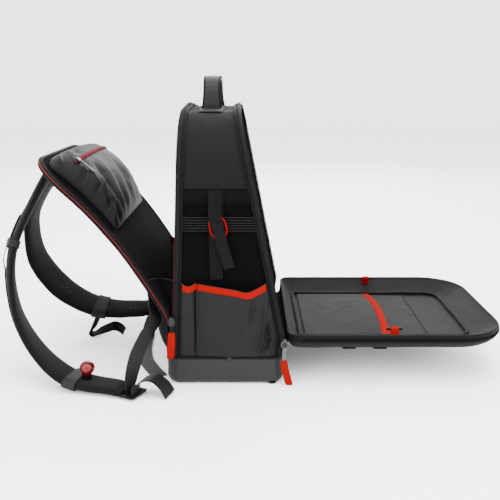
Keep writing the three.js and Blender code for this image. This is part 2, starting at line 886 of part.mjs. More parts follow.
// The side's own place: shares across between the rims at a height, and out from the cloth.
function onSide(side, u, z, out) {
  const x0 = backX(z) + rimWidth + clearance;
  const x1 = frontX(z) - rimWidth - clearance;
  return point(mix(x0, x1, u), side * (bandHalfWidth + clearance + out), z);
}

// Mouth of the side pocket: the narrow part behind the pleat sags, the main part dips forward.
function pocketMouth(u) {
  if (u < sidePleat) return sidePocketTop - 4 * Math.sin((Math.PI * u) / sidePleat);
  const part = (u - sidePleat) / (1 - sidePleat);
  return sidePocketTop - 11 * Math.pow(Math.sin(Math.PI * Math.pow(part, 1.3)), 1.5);
}

// How far the side pocket bulges at a share across and a share of its height.
function pocketStand(u, v) {
  const own = u < sidePleat ? u / sidePleat : (u - sidePleat) / (1 - sidePleat);
  const high = u < sidePleat ? 0.45 : 1;
  const fold = u > 0 && u < 1 ? 0.18 : 0;
  const bow = Math.max(fold, high * Math.pow(Math.sin(Math.PI * own), 0.5));
  return sidePocketBulge * bow * mix(0.3, 1, Math.pow(v, 0.6));
}

const bindingHeight = 9.6;
const pocketShares = [0, 0.045, 0.085, 0.125, sidePleat, 0.2, 0.25, 0.32, 0.42, 0.52, 0.62, 0.72, 0.82, 0.9, 0.96, 1];
const pocketFoot = bandFoot + 0.4;

function sidePocketPoint(side, u, v, out) {
  const top = pocketMouth(u);
  const seam = top - bindingHeight;
  const z = v <= 1 ? mix(pocketFoot, seam, v) : mix(seam, top, v - 1);
  return onSide(side, u, z, pocketStand(u, Math.min(1, v)) + out);
}

const sidePocket = (side) =>
  sheet(
    (u, v, out) => sidePocketPoint(side, u, v, out),
    pocketShares,
    [0, 0.12, 0.4, 0.7, 1, 2],
    0,
    clothThickness,
  );

const sidePocketBinding = (side) =>
  sheet(
    (u, v, out) => sidePocketPoint(side, u, v, out + clothThickness + clearance),
    pocketShares.slice(1, -1),
    [1.02, 1.98],
    0,
    clothThickness - 0.6,
  );

// A flat strip right across the side at a height.
const sideStrip = (side, low, height, thickness) =>
  sheet((u, v, out) => onSide(side, u, low + height * v, out), [0, 1], [0, 1], 0, thickness);

// Long ring on the side, turned a little, and the webbing that runs down through it.
const ringCentre = [sideStrapX + 0.5, tapeLow + 8];
const ringTilt = THREE.MathUtils.degToRad(13);
const ringBar = 3.4;
const ringDepth = 4;
const webbingSeat = clothThickness + clearance + webbingThickness / 2;
const ringSeat = 1 + 2 * clearance + webbingThickness;

// A point of the ring's own plane: across, down its length, and out from the cloth.
function onRing(across, down, out) {
  const x = ringCentre[0] + across * Math.cos(ringTilt) + down * Math.sin(ringTilt);
  const z = ringCentre[1] + across * Math.sin(ringTilt) - down * Math.cos(ringTilt);
  return point(x, -(bandHalfWidth + clearance + out), z);
}

function sideRing() {
  const steps = 24;
  const sections = [];
  for (let k = 0; k < steps; k++) {
    const angle = (2 * Math.PI * k) / steps;
    const [c, n] = [Math.cos(angle), Math.sin(angle)];
    const round = Math.pow(Math.abs(c) ** 3.4 + Math.abs(n) ** 3.4, -1 / 3.4);
    const at = (shrink, out) =>
      onRing((ringOuter + 1 - shrink) * c * round, (ringLength / 2 - shrink) * n * round, ringSeat + out);
    sections.push([at(ringBar, 0.8), at(ringBar, ringDepth - 0.8), at(0.8, ringDepth), at(0, 2), at(0.8, 0)]);
  }
  return ringLoft(sections);
}

// A ring whose sections may have any number of points.
function ringLoft(sections) {
  return loft(sections, { ring: true });
}

const ringBack = 1 + clearance + webbingThickness / 2;
const ringFront = ringSeat + ringDepth + clearance + webbingThickness / 2 + 0.3;
const sideWebbingRows = [
  [0, -54, webbingSeat + 0.1],
  [0, -40, webbingSeat + 0.1],
  [0, -33, webbingSeat + 0.1],
  [0, -25, ringBack + 0.1],
  [0, -18, ringBack],
  [0, -11, ringBack],
  [0, -6, ringBack + 0.6],
  [0, 0, (ringBack + ringFront) / 2],
  [0, 6, ringFront - 0.6],
  [0, 11, ringFront + 0.1],
  [0, 18, ringFront],
  [0.5, 34, ringFront - 1],
  [1.5, 50, ringFront - 2],
  [2.5, 64, ringFront - 1],
].map(([across, down, out]) => {
  const at = onRing(across, down, out);
  const lift = down < -20 ? (down + 20) * Math.sin(ringTilt) : 0;
  return [at.x - lift, at.y, at.z, Math.cos(ringTilt), 0, Math.sin(ringTilt), sideStrapWidth - 1];
});

// A hanging piece through rows [x, half width, y inside, y outside, z].
function hangingBlock(rows) {
  return loft(
    rows.map(([x, half, y0, y1, z]) => [
      point(x - half, y0, z),
      point(x + half, y0, z),
      point(x + half, y1, z),
      point(x - half, y1, z),
    ]),
  );
}

// Sliders lie on the rims' outer faces. Rows: x, half width, y inside, y outside, height.
const sliderFace = -(bandHalfWidth + rimProud + clearance);
const backSliderX = backX(zipEndBack) - 2.5;
const frontSliderX = frontAtZipEnd + 0.5;
const tabHalf = 6;
const backSliderRows = [
  [backSliderX, 3.5, sliderFace - 0.6, sliderFace - 3.6, zipEndBack + 14],
  [backSliderX, 5, sliderFace, sliderFace - 5, zipEndBack + 13],
  [backSliderX, 5, sliderFace, sliderFace - 5, zipEndBack + 2],
  [backSliderX, 3.2, sliderFace - 1.5, sliderFace - 4.5, zipEndBack + 1],
  [backSliderX, 3.2, sliderFace - 1.8, sliderFace - 3.8, zipEndBack - 10],
];
const backTabRows = [
  [backSliderX - 0.5, tabHalf - 0.6, sliderFace - 1.4, sliderFace - 4.4, zipEndBack - 10.4],
  [backSliderX - 1.5, tabHalf, sliderFace - 1.2, sliderFace - 4.6, zipEndBack - 30],
  [backSliderX - 3.5, tabHalf, sliderFace - 1.2, sliderFace - 4.4, zipEndBack - 53],
];
const frontSliderRows = [
  [frontSliderX, 3.5, sliderFace - 0.6, sliderFace - 3.6, zipEndFront + 1],
  [frontSliderX, 5, sliderFace, sliderFace - 5, zipEndFront],
  [frontSliderX, 5, sliderFace, sliderFace - 5, zipEndFront - 12],
  [frontSliderX, 3.2, sliderFace - 1.5, sliderFace - 4.5, zipEndFront - 13],
  [frontSliderX - 1, 3.2, sliderFace - 1.8, sliderFace - 3.8, zipEndFront - 33],
];
const frontTabRows = [
  [frontSliderX - 1.2, tabHalf - 0.6, sliderFace - 1.4, sliderFace - 4.4, zipEndFront - 33.4],
  [frontSliderX + 2, tabHalf, sliderFace - 1.4, sliderFace - 4.6, zipEndFront - 52],
  [frontSliderX + 8, tabHalf, sliderFace - 1.4, sliderFace - 4.4, zipEndFront - 74],
];

// Where a strap leaves the panel's outer face, just below its top.
const strapRoot = (y, stand) => onPanel(0.955, y, -panelOuter - clearance - stand);

// A webbing's first rows: flat on the panel's outer face, then clear of it.
function webbingRoot(y, across) {
  const out = -panelOuter - 2 * clearance - webbingThickness / 2;
  return [0.33, 0.3].map((share) => {
    const at = onPanel(share, y, out);
    return [at.x, at.y, at.z, ...across, webbingWidth];
  });
}

// Near shoulder strap. Rows: centre x, y, z, the way its width runs, width.
const nearRoot = strapRoot(-60, 1.1);
const nearFrame = buckleFrame(point(-138, -205, 5.2), point(0.9, -0.44, 0), point(0, 0, 1));
const padEnd = buckleBars[0] - clearance;
const nearPadEnd = nearFrame.origin.clone().addScaledVector(nearFrame.along, padEnd);
const nearPadTurn = nearFrame.origin.clone().addScaledVector(nearFrame.along, padEnd - 20);
const nearStrapRows = [
  [nearRoot.x, -60, nearRoot.z, 0, 1, 0, padWidth],
  [-296, -61, 302, 0, 1, 0, padWidth + 4],
  [-314, -70, 270, 0, 1, 0, padWidth + 6],
  [-330, -80, 239, 0, 1, 0, padWidth + 4],
  [-342, -90, 208, 0, 1, 0, padWidth + 2],
  [-345, -103, 175, 0, 1, 0, padWidth],
  [-340, -118, 141, 0, 1, 0, padWidth - 2],
  [-327, -134, 105, 0, 1, 0, padWidth - 4],
  [-305, -150, 69, 0, 1, 0, padWidth - 6],
  [-277, -161, 38, 0.1, 1, 0, padWidth - 8],
  [-242, -172, 16, 0.2, 1, 0, padWidth - 11],
  [-205, -180, 8.8, 0.25, 1, 0, padEndWidth + 4],
  [nearPadTurn.x, nearPadTurn.y, 7.8, ...nearFrame.across.toArray(), padEndWidth],
  [nearPadEnd.x, nearPadEnd.y, 6.4, ...nearFrame.across.toArray(), padEndWidth - 4],
];
const strapSteps = 2 * (nearStrapRows.length - 1);
const nearBandStation = 20;
const nearKnobShare = 0.835;

// Glossy knob sewn on the strap.
function strapKnob(rows, share) {
  const stations = pathStations(rows, 200);
  const s = stations[Math.round(share * 200)];
  const up = s.normal.z > 0 ? s.normal : s.normal.clone().negate();
  const seat = padThickness / 2 + clearance + 0.3;
  const profile = [
    [0, 0],
    [7.5, 0],
    [10, 2.5],
    [10.4, 6],
    [8.2, 10],
    [4, 12.2],
    [0, 12.8],
  ].map(([radius, rise]) => new THREE.Vector2(radius, rise));
  const knob = new THREE.LatheGeometry(profile, 14).rotateX(Math.PI / 2);
  const solid = new THREE.BufferGeometry().setAttribute("position", knob.getAttribute("position"));
  solid.setIndex(knob.getIndex());
  const turn = new THREE.Quaternion().setFromUnitVectors(point(0, 0, 1), up);
  solid.applyQuaternion(turn);
  const at = s.at.clone().addScaledVector(up, seat);
  return facingOut(solid.translate(at.x, at.y, at.z));
}

// Webbing down to the near buckle, through it and back in a loose arc to its cut end.
const nearWebbingRows = [
  ...webbingRoot(-140, [0, 1, 0]),
  [-112, -146, 124, 0.3, 0.9, 0, webbingWidth],
  [-108, -155, 104, 0.6, 0.8, 0, webbingWidth],
  [-121, -166, 84, 0.75, 0.65, 0, webbingWidth],
  [-134, -178, 58, 0.75, 0.65, 0, webbingWidth],
  [-141, -194, 32, 0.63, 0.78, 0, webbingWidth],
  inBuckle(nearFrame, -5.4, 12),
  inBuckle(nearFrame, -4.6, 4),
  inBuckle(nearFrame, -4.2, 0),
  inBuckle(nearFrame, -3.2, -3),
  inBuckle(nearFrame, 0.4, -3.5),
  inBuckle(nearFrame, 4.2, -3),
  inBuckle(nearFrame, 5.4, 0),
  inBuckle(nearFrame, 5.4, 4),
  [-131, -203, 18, 0.3, 0.95, 0, webbingWidth + 1],
  [-119, -202, 27, 0.3, 0.95, 0, webbingWidth + 2],
  [-105, -203, 28, 0.35, 0.93, 0, webbingWidth + 3],
  [-91, -205, 18, 0.4, 0.92, 0, webbingWidth + 4],
  [-82, -207, 3.6, 0.43, 0.9, 0, webbingWidth + 5],
];

// Far shoulder strap and the parts on it.
const farRoot = strapRoot(60, 0);
const farFrame = buckleFrame(point(-136, 68, 57), point(0.88, 0.42, 0.2), point(-0.1, -0.34, 0.93));
const farPadEnd = farFrame.origin.clone().addScaledVector(farFrame.along, padEnd);
const farPadTurn = farFrame.origin.clone().addScaledVector(farFrame.along, padEnd - 14);
const farStrapRows = [
  [farRoot.x, 60, farRoot.z, 0, 1, 0, padWidth],
  [-303, 60, 304, 0, 1, 0, padWidth + 4],
  [-332, 60, 270, 0, 1, 0, padWidth + 6],
  [-354, 60, 228, 0.04, 1, 0, padWidth + 4],
  [-357, 60, 188, 0.1, 1, 0, padWidth + 2],
  [-352, 60, 154, 0.2, 1, 0.1, padWidth],
  [-337, 60, 124, 0.25, 0.95, 0.2, padWidth - 2],
  [-314, 60, 96, 0.26, 0.93, 0.28, padWidth - 4],
  [-287, 60, 74, 0.2, 0.93, 0.33, padWidth - 6],
  [-250, 60, 56, 0.1, 0.93, 0.36, padWidth - 9],
  [-205, 60, 49, 0, 0.94, 0.34, padEndWidth + 5],
  [-182, 59, 50, 0, 0.94, 0.34, padEndWidth + 2],
  [farPadTurn.x, farPadTurn.y, farPadTurn.z, ...farFrame.across.toArray(), padEndWidth],
  [farPadEnd.x, farPadEnd.y, farPadEnd.z, ...farFrame.across.toArray(), padEndWidth - 4],
];
const farBandStation = 18;

const chestRows = [
  [-243, 44, 38, 0.5, 0.87, 0, chestWebbing - 4],
  [-251, 44, 20, 0.4, 0.9, 0, chestWebbing - 2],
  [-257, 47, 8.6, 0.2, 0.98, 0, chestWebbing],
  [-254, 50, 3.4, 0, 1, 0, chestWebbing],
  [-242, 51, 4.6, 0, 1, 0, chestWebbing],
  [-228, 52, 10, 0, 1, 0, chestWebbing],
  [-214, 53, 15, 0, 1, 0, chestWebbing],
  [-203, 54, 9, 0, 1, 0, chestWebbing],
  [-197, 55, 1.9, 0, 1, 0, chestWebbing + 3],
];

// Webbing from the panel to the far buckle, and the loose end that falls from it to the floor.
const farWebbingRows = [
  ...webbingRoot(140, [0, 1, 0]),
  [-116, 138, 124, -0.1, 1, 0, webbingWidth],
  [-127, 122, 106, -0.5, 0.8, 0.2, webbingWidth],
  [-133, 102, 89, -0.75, 0.6, 0.1, webbingWidth],
  inBuckle(farFrame, 18, 13, 11, 0.45),
  inBuckle(farFrame, 13.5, 6.4, 2.5, 0.2),
  inBuckle(farFrame, 9.6, 3.9),
  inBuckle(farFrame, 6, 2.7),
  inBuckle(farFrame, 5.4, 0),
  inBuckle(farFrame, 4.4, -3),
  inBuckle(farFrame, 0.6, -3.6),
];

const farTailRows = [
  inBuckle(farFrame, -7.7, 2.6),
  inBuckle(farFrame, -7.7, 0),
  inBuckle(farFrame, -7.7, -4),
  inBuckle(farFrame, -7.9, -8),
  [-144, 60, 40, -0.5, 0.85, 0, webbingWidth],
  [-149, 56, 20, -0.85, 0.5, 0, webbingWidth],
  [-151, 44, 4, -1, 0.1, 0, webbingWidth],
  [-151, 20, 1.5, -1, 0, 0, webbingWidth],
  [-148, -20, 1.5, -1, -0.1, 0, webbingWidth],
  [-139, -67, 1.5, -0.95, -0.3, 0, webbingWidth],
  [-124, -103, 1.5, -0.9, -0.4, 0, webbingWidth],
  [-106, -137, 1.5, -0.9, -0.45, 0, webbingWidth],
];

// Base
addPiece("base_tray", baseTray(), "base");
addPiece("base_trim", baseTrim(), "binding");

// Side band, rims, zips and inner walls
addPiece("side_band", sideBand(), "cloth");
addPiece("rim_front", rim(frontX, 1), "binding");
addPiece("rim_back", rim(backX, -1), "binding");
addPiece("zip_front_body", openingCoil(frontX, 1, zipEndFront + 4), "plastic");
addPiece("zip_back_body", openingCoil(backX, -1, zipEndBack + 8), "redCoil");
addPiece("divider", divider(), "darkCloth");
addPiece("front_foot_panel", frontFootPanel(), "darkCloth");

// Lid
addPiece("lid_hinge", lidHinge(), "darkCloth");
addPiece("lid_shell", lidShell(), "cloth");
addPiece("lid_zip", lidCoil(), "plastic");
addPiece("lid_piping", lidPiping(), "binding");
addPiece("lid_pocket_lower", lidPocket(lidPocketEdge, pocketLevel, 0.4), "cloth");
addPiece("lid_pocket_upper", lidPocket(lidPocketHem, pocketLevel + 1.8, pocketSlack), "cloth");
addPiece("lid_pocket_binding", lidPocketBinding(), "red");
lidWebbingAt.forEach((x, k) => addPiece(`lid_webbing_${k + 1}`, lidOuterWebbing(x), "webbing"));
for (const [name, side] of [
  ["near", -1],
  ["far", 1],
]) {
  addPiece(`lid_toggle_tab_${name}`, lidToggleTab(side), "red");
  addPiece(`lid_toggle_bar_${name}`, lidToggleBar(side), "plastic");
}

// Back panel
addPiece("back_panel", backPanel(), "cloth");
addPiece("zip_back_panel", panelCoil(), "redCoil");
addPiece("back_pocket", backPocket(), "cloth");
addPiece("pocket_zip", pocketZip(), "redCoil");
addPiece("back_pad", outerPad(0.26, 0.9, backPadHalf, backPadThickness), "mesh");
addPiece("lumbar_pad", outerPad(0.01, 0.24, lumbarHalf, lumbarThickness), "mesh");

// Handle
addPiece("top_handle", topHandle(), "webbing");
addPiece("handle_patch_near", handlePatch(-1), "webbing");
addPiece("handle_patch_far", handlePatch(1), "webbing");

// Sides
for (const [name, side] of [
  ["near", -1],
  ["far", 1],
]) {
  addPiece(`side_pocket_${name}`, sidePocket(side), "cloth");
  addPiece(`side_pocket_binding_${name}`, sidePocketBinding(side), "red");
  addPiece(`side_elastic_${name}`, sideStrip(side, elasticLow, elasticHeight, clothThickness), "darkCloth");
  addPiece(`side_tape_${name}`, sideStrip(side, tapeLow, tapeHeight, 1), "darkCloth");
}
addPiece("side_ring", sideRing(), "red");
addPiece("side_webbing", webbing(sideWebbingRows, 2 * (sideWebbingRows.length - 1)), "webbing");

// Zip sliders and their pull tabs on the near side
addPiece("slider_back", hangingBlock(backSliderRows), "metal");
addPiece("pull_tab_back", hangingBlock(backTabRows), "red");
addPiece("slider_front", hangingBlock(frontSliderRows), "metal");
addPiece("pull_tab_front", hangingBlock(frontTabRows), "red");

// Near shoulder strap
addPiece("strap_near", paddedStrap(nearStrapRows, strapSteps), "mesh");
addPiece("strap_near_band", strapWrap(nearStrapRows, strapSteps, nearBandStation), "webbing");
addPiece("strap_near_knob", strapKnob(nearStrapRows, nearKnobShare), "redGloss");
addPiece("strap_near_buckle", ladderBuckle(nearFrame), "plastic");
addPiece("strap_near_webbing", webbing(nearWebbingRows, 2 * (nearWebbingRows.length - 1)), "webbing");

// Far shoulder strap
addPiece("strap_far", paddedStrap(farStrapRows, strapSteps), "mesh");
addPiece("strap_far_band", strapWrap(farStrapRows, strapSteps, farBandStation), "webbing");
addPiece("strap_far_chest_webbing", webbing(chestRows, 2 * (chestRows.length - 1)), "webbing");
addPiece("strap_far_buckle", ladderBuckle(farFrame), "plastic");
addPiece("strap_far_webbing", webbing(farWebbingRows, 2 * (farWebbingRows.length - 1)), "webbing");
addPiece("strap_far_tail", webbing(farTailRows, 2 * (farTailRows.length - 1)), "webbing");

export default bag;
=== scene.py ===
import bpy
import math
import numpy as np
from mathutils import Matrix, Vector, noise


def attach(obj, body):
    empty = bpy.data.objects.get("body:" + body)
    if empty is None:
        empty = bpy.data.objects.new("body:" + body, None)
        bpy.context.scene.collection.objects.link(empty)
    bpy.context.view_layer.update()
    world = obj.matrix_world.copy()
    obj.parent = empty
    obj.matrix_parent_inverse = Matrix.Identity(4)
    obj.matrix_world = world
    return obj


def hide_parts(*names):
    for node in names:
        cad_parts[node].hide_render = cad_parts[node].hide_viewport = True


# Tool backpack on its moulded base: lid folded down to the front, back panel leaning back,
# both shoulder straps looping to the floor. Sizes below are millimetres in the part's own frame.
mm = 0.001
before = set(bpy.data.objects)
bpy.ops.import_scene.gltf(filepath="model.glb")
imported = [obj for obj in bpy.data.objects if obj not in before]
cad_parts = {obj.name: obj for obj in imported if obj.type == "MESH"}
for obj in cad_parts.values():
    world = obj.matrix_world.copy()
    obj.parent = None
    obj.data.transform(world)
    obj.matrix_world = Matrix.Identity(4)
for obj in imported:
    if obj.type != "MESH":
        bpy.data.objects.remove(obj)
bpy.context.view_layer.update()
scene = bpy.context.scene
print("frame loaded")

# camera, light and floor
viewpoint = {"place": (0.039, -1.173, 0.470), "downDegrees": 14.0, "lens": 49.9, "sensor": 36.0}
cameraData = bpy.data.cameras.new("camera")
cameraData.lens, cameraData.sensor_width = viewpoint["lens"], viewpoint["sensor"]
camera = bpy.data.objects.new("camera", cameraData)
camera.location = viewpoint["place"]
camera.rotation_euler = (math.radians(90 - viewpoint["downDegrees"]), 0, 0)
scene.collection.objects.link(camera)
scene.camera = camera

softLights = {
    "overhead": {"place": (0.1, -0.5, 2.1), "size": 2.4, "power": 95},
    "frontLeft": {"place": (-1.5, -1.9, 1.2), "size": 1.6, "power": 60},
    "frontRight": {"place": (1.8, -1.5, 1.1), "size": 1.5, "power": 46},
    "behind": {"place": (0.3, 1.9, 1.5), "size": 1.8, "power": 60},
}
lampTarget = Vector((0.05, 0, 0.18))
studioGlow = 3.2
for lightName, light in softLights.items():
    lamp = bpy.data.lights.new(lightName, "AREA")
    lamp.shape, lamp.size, lamp.energy = "DISK", light["size"], light["power"]
    lampObject = bpy.data.objects.new(lightName, lamp)
    lampObject.location = light["place"]
    toObject = lampTarget - Vector(light["place"])
    lampObject.rotation_euler = toObject.to_track_quat("-Z", "Y").to_euler()
    scene.collection.objects.link(lampObject)
world = bpy.data.worlds.new("studio")
world.use_nodes = True
world.node_tree.nodes["Background"].inputs[0].default_value = (1, 1, 1, 1)
world.node_tree.nodes["Background"].inputs[1].default_value = studioGlow
scene.world = world


# small tools
def mixed(a, b, share):
    return a + (b - a) * share


def eased(share):
    share = min(max(share, 0.0), 1.0)
    return share * share * (3 - 2 * share)


def readTable(table, share, column=1):
    return float(np.interp(share, [row[0] for row in table], [row[column] for row in table]))


def grain(points, scale, seed=0.0, octaves=2):
    # soft noise from -1 to 1 at each point, scale in millimetres
    flat = np.asarray(points, float).reshape(-1, 3) / scale
    value = [noise.fractal(Vector((p[0] + seed, p[1] - seed, p[2] + 2 * seed)), 0.8, 2.1, octaves)
        for p in flat]
    return np.clip(np.array(value).reshape(np.asarray(points).shape[:-1]), -1.4, 1.4)


def gridNormals(grid):
    alongRows = np.gradient(grid, axis=0)
    alongColumns = np.gradient(grid, axis=1)
    normal = np.cross(alongRows, alongColumns)
    return normal / np.maximum(np.linalg.norm(normal, axis=-1, keepdims=True), 1e-9)


def fold(u, v, start, end, width, height, stretch=1.0):
    # a soft ridge of cloth from start to end over a (u, v) surface, fading at both ends
    a, b = np.array(start, float), np.array(end, float)
    a[0], b[0] = a[0] * stretch, b[0] * stretch
    line = b - a
    share = np.clip(((u * stretch - a[0]) * line[0] + (v - a[1]) * line[1]) / (line @ line), 0, 1)
    away = np.hypot(u * stretch - a[0] - share * line[0], v - a[1] - share * line[1])
    return height * np.exp(-((away / width) ** 2)) * np.sin(np.pi * np.clip(0.12 + 0.76 * share, 0, 1))


def meshObject(name, points, faces, materials, uvs=None, faceMaterial=None, sharp=48):
    mesh = bpy.data.meshes.new(name)
    mesh.from_pydata((np.asarray(points, float).reshape(-1, 3) * mm).tolist(), [], faces)
    if uvs is not None:
        mesh.uv_layers.new(name="cloth").data.foreach_set("uv", (np.asarray(uvs, np.float32) * mm).ravel())
    for material in materials:
        mesh.materials.append(material)
    if faceMaterial is not None:
        mesh.polygons.foreach_set("material_index", faceMaterial)
    co = np.asarray(points, float).reshape(-1, 3)
    volume = sum(np.dot(co[f[0]], np.cross(co[f[k]], co[f[k + 1]])) for f in faces
        for k in range(1, len(f) - 1))
    if volume < 0:
        mesh.flip_normals()
    mesh.shade_smooth()
    mesh.set_sharp_from_angle(angle=math.radians(sharp))
    obj = bpy.data.objects.new(name, mesh)
    scene.collection.objects.link(obj)
    return obj


def loftObject(name, sections, materials, ring=False, ends="strip", pick=None, sharp=48):
    # closed solid through equal sections; pick(row, column) chooses a face's material
    s = np.asarray(sections, float)
    rows, count = s.shape[:2]
    around = np.linalg.norm(np.roll(s, -1, axis=1) - s, axis=2).mean(0)
    u = np.concatenate([[0], np.cumsum(around)])
    looped = np.concatenate([s, s[:1]]) if ring else s
    v = np.concatenate([[0], np.cumsum(np.linalg.norm(np.diff(looped, axis=0), axis=2).mean(1))])
    faces, uvs, chosen = [], [], []
    for i in range(rows if ring else rows - 1):
        n = (i + 1) % rows
        for j in range(count):
            k = (j + 1) % count
            faces.append((i * count + j, i * count + k, n * count + k, n * count + j))
            uvs += [(u[j], v[i]), (u[j + 1], v[i]), (u[j + 1], v[i + 1]), (u[j], v[i + 1])]
            chosen.append(pick(i, j) if pick else 0)
    if not ring:
        last = (rows - 1) * count
        if ends == "strip":
            for j in range(count // 2 - 1):
                quad = (j, j + 1, count - 2 - j, count - 1 - j)
                faces += [tuple(reversed(quad)), tuple(last + q for q in quad)]
                uvs += [(u[q], v[0]) for q in reversed(quad)] + [(u[q], v[-1]) for q in quad]
                chosen += [pick(0, j), pick(rows - 2, j)] if pick else [0, 0]
        else:
            faces += [tuple(reversed(range(count))), tuple(range(last, last + count))]
            uvs += [(u[q], v[0]) for q in reversed(range(count))] + [(u[q], v[-1]) for q in range(count)]
            chosen += [pick(0, 0), pick(rows - 2, 0)] if pick else [0, 0]
    return meshObject(name, s, faces, materials, uvs, chosen, sharp)


def clothObject(name, outer, thickness, materials, inward=1, pick=None, sharp=60):
    # a sheet of real cloth: outer is a grid of points, its wall goes inwards, its edges are round
    outer = np.asarray(outer, float)
    inner = outer - gridNormals(outer) * thickness * inward
    middle = (outer + inner) / 2
    sections = []
    for i in range(len(outer)):
        left = middle[i, 0] + (middle[i, 0] - middle[i, 1]) / np.linalg.norm(middle[i, 0] - middle[i,
            1]) * thickness * 0.4
        right = middle[i, -1] + (middle[i, -1] - middle[i, -2]) / np.linalg.norm(middle[i, -1] - middle[i,
            -2]) * thickness * 0.4
        sections.append(np.vstack([left, outer[i], right, right, inner[i][::-1], left]))
    s = np.array(sections)
    s = np.delete(s, [outer.shape[1] + 2], axis=1)[:, :-1]
    first = mixed(s[0], np.vstack([middle[0, :1], middle[0], middle[0, -1:], middle[0][::-1]]), 0.55)
    last = mixed(s[-1], np.vstack([middle[-1, :1], middle[-1], middle[-1, -1:], middle[-1][::-1]]), 0.55)
    first += (s[0] - s[1]) / np.maximum(np.linalg.norm(s[0] - s[1], axis=1, keepdims=True),
        1e-9) * thickness * 0.35
    last += (s[-1] - s[-2]) / np.maximum(np.linalg.norm(s[-1] - s[-2], axis=1, keepdims=True),
        1e-9) * thickness * 0.35
    s = np.concatenate([first[None], s, last[None]])
    return loftObject(name, s, materials, ends="fan", pick=pick, sharp=sharp)


def tubeObject(name, line, radius, materials, closed=False, sides=10, squash=1.0, up=(0, 0, 1), ends="fan"):
    # piping along a line of points, its radius a number or one for each point
    line = np.asarray(line, float)
    along = np.gradient(line, axis=0)
    if closed:
        along = np.roll(line, -1, axis=0) - np.roll(line, 1, axis=0)
    along /= np.linalg.norm(along, axis=1, keepdims=True)
    ups = np.broadcast_to(np.asarray(up, float), line.shape)
    side = np.cross(along, ups)
    side /= np.linalg.norm(side, axis=1, keepdims=True)
    top = np.cross(side, along)
    radius = np.broadcast_to(np.asarray(radius, float), (len(line),))
    turn = np.linspace(0, 2 * np.pi, sides, endpoint=False)
    sections = [
        [line[i] + side[i] * radius[i] * math.cos(t) + top[i] * radius[i] * squash * math.sin(t)
            for t in turn]
        for i in range(len(line))
    ]
    return loftObject(name, sections, materials, ring=closed, ends=ends, sharp=70)


def onBag(obj, slotName, *nodes):
    if nodes:
        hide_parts(*nodes)
    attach(obj, "root")
    return obj


# repeats along a line: threads, zip teeth, ribs
def repeatTree(shape):
    tree = bpy.data.node_groups.new("repeat" + shape, "GeometryNodeTree")
    face = tree.interface
    face.new_socket("Geometry", in_out="OUTPUT", socket_type="NodeSocketGeometry")
    face.new_socket("Geometry", in_out="INPUT", socket_type="NodeSocketGeometry")
    sockets = {}
    for label, kind in (("Spacing", "Float"), ("Size", "Vector"), ("Uneven", "Float"), ("Seed", "Int"),
        ("Material", "Material")):
        sockets[label] = face.new_socket(label, in_out="INPUT", socket_type="NodeSocket" + kind).identifier

    def add(kind, **values):
        node = tree.nodes.new(kind)
        for key, value in values.items():
            setattr(node, key, value)
        return node

    link = tree.links.new
    given, result = add("NodeGroupInput"), add("NodeGroupOutput")
    toCurve, toPoints = add("GeometryNodeMeshToCurve"), add("GeometryNodeCurveToPoints", mode="LENGTH")
    upward = add("GeometryNodeInputNamedAttribute", data_type="FLOAT_VECTOR")
    upward.inputs["Name"].default_value = "up"
    faceAlong = add("FunctionNodeAlignRotationToVector", axis="X")
    faceUp = add("FunctionNodeAlignRotationToVector", axis="Z", pivot_axis="X")
    place = add("GeometryNodeInstanceOnPoints")
    if shape == "Thread":
        item = add("GeometryNodeMeshIcoSphere")
        item.inputs["Radius"].default_value = 0.5
        item.inputs["Subdivisions"].default_value = 1
        itemOut = item.outputs["Mesh"]
    else:
        item = add("GeometryNodeMeshCylinder")
        item.inputs["Vertices"].default_value = 8
        item.inputs["Radius"].default_value = 0.5
        item.inputs["Depth"].default_value = 1.0
        lay = add("GeometryNodeTransform")
        lay.inputs["Rotation"].default_value = (math.radians(90), 0, 0)
        link(item.outputs["Mesh"], lay.inputs["Geometry"])
        itemOut = lay.outputs["Geometry"]
    wobble = add("FunctionNodeRandomValue", data_type="FLOAT")
    wobble.inputs[2].default_value, wobble.inputs[3].default_value = 0.0, 1.0
    loss = add("ShaderNodeMath", operation="MULTIPLY")
    keep = add("ShaderNodeMath", operation="SUBTRACT")
    keep.inputs[0].default_value = 1.0
    grow = add("ShaderNodeVectorMath", operation="SCALE")
    real, paint = add("GeometryNodeRealizeInstances"), add("GeometryNodeSetMaterial")
    round_ = add("GeometryNodeSetShadeSmooth")
    link(given.outputs["Geometry"], toCurve.inputs[0])
    link(toCurve.outputs[0], toPoints.inputs[0])
    link(given.outputs["Spacing"], toPoints.inputs["Length"])
    link(toPoints.outputs["Tangent"], faceAlong.inputs["Vector"])
    link(faceAlong.outputs[0], faceUp.inputs["Rotation"])
    link(upward.outputs["Attribute"], faceUp.inputs["Vector"])
    link(given.outputs["Seed"], wobble.inputs["Seed"])
    link(wobble.outputs[1], loss.inputs[0])
    link(given.outputs["Uneven"], loss.inputs[1])
    link(loss.outputs[0], keep.inputs[1])
    link(given.outputs["Size"], grow.inputs[0])
    link(keep.outputs[0], grow.inputs["Scale"])
    link(toPoints.outputs["Points"], place.inputs["Points"])
    link(itemOut, place.inputs["Instance"])
    link(faceUp.outputs[0], place.inputs["Rotation"])
    link(grow.outputs[0], place.inputs["Scale"])
    link(place.outputs[0], real.inputs[0])
    link(real.outputs[0], round_.inputs["Geometry"])
    link(round_.outputs[0], paint.inputs["Geometry"])
    link(given.outputs["Material"], paint.inputs["Material"])
    link(paint.outputs[0], result.inputs[0])
    return tree, sockets


repeatTrees = {shape: repeatTree(shape) for shape in ("Thread", "Bar")}


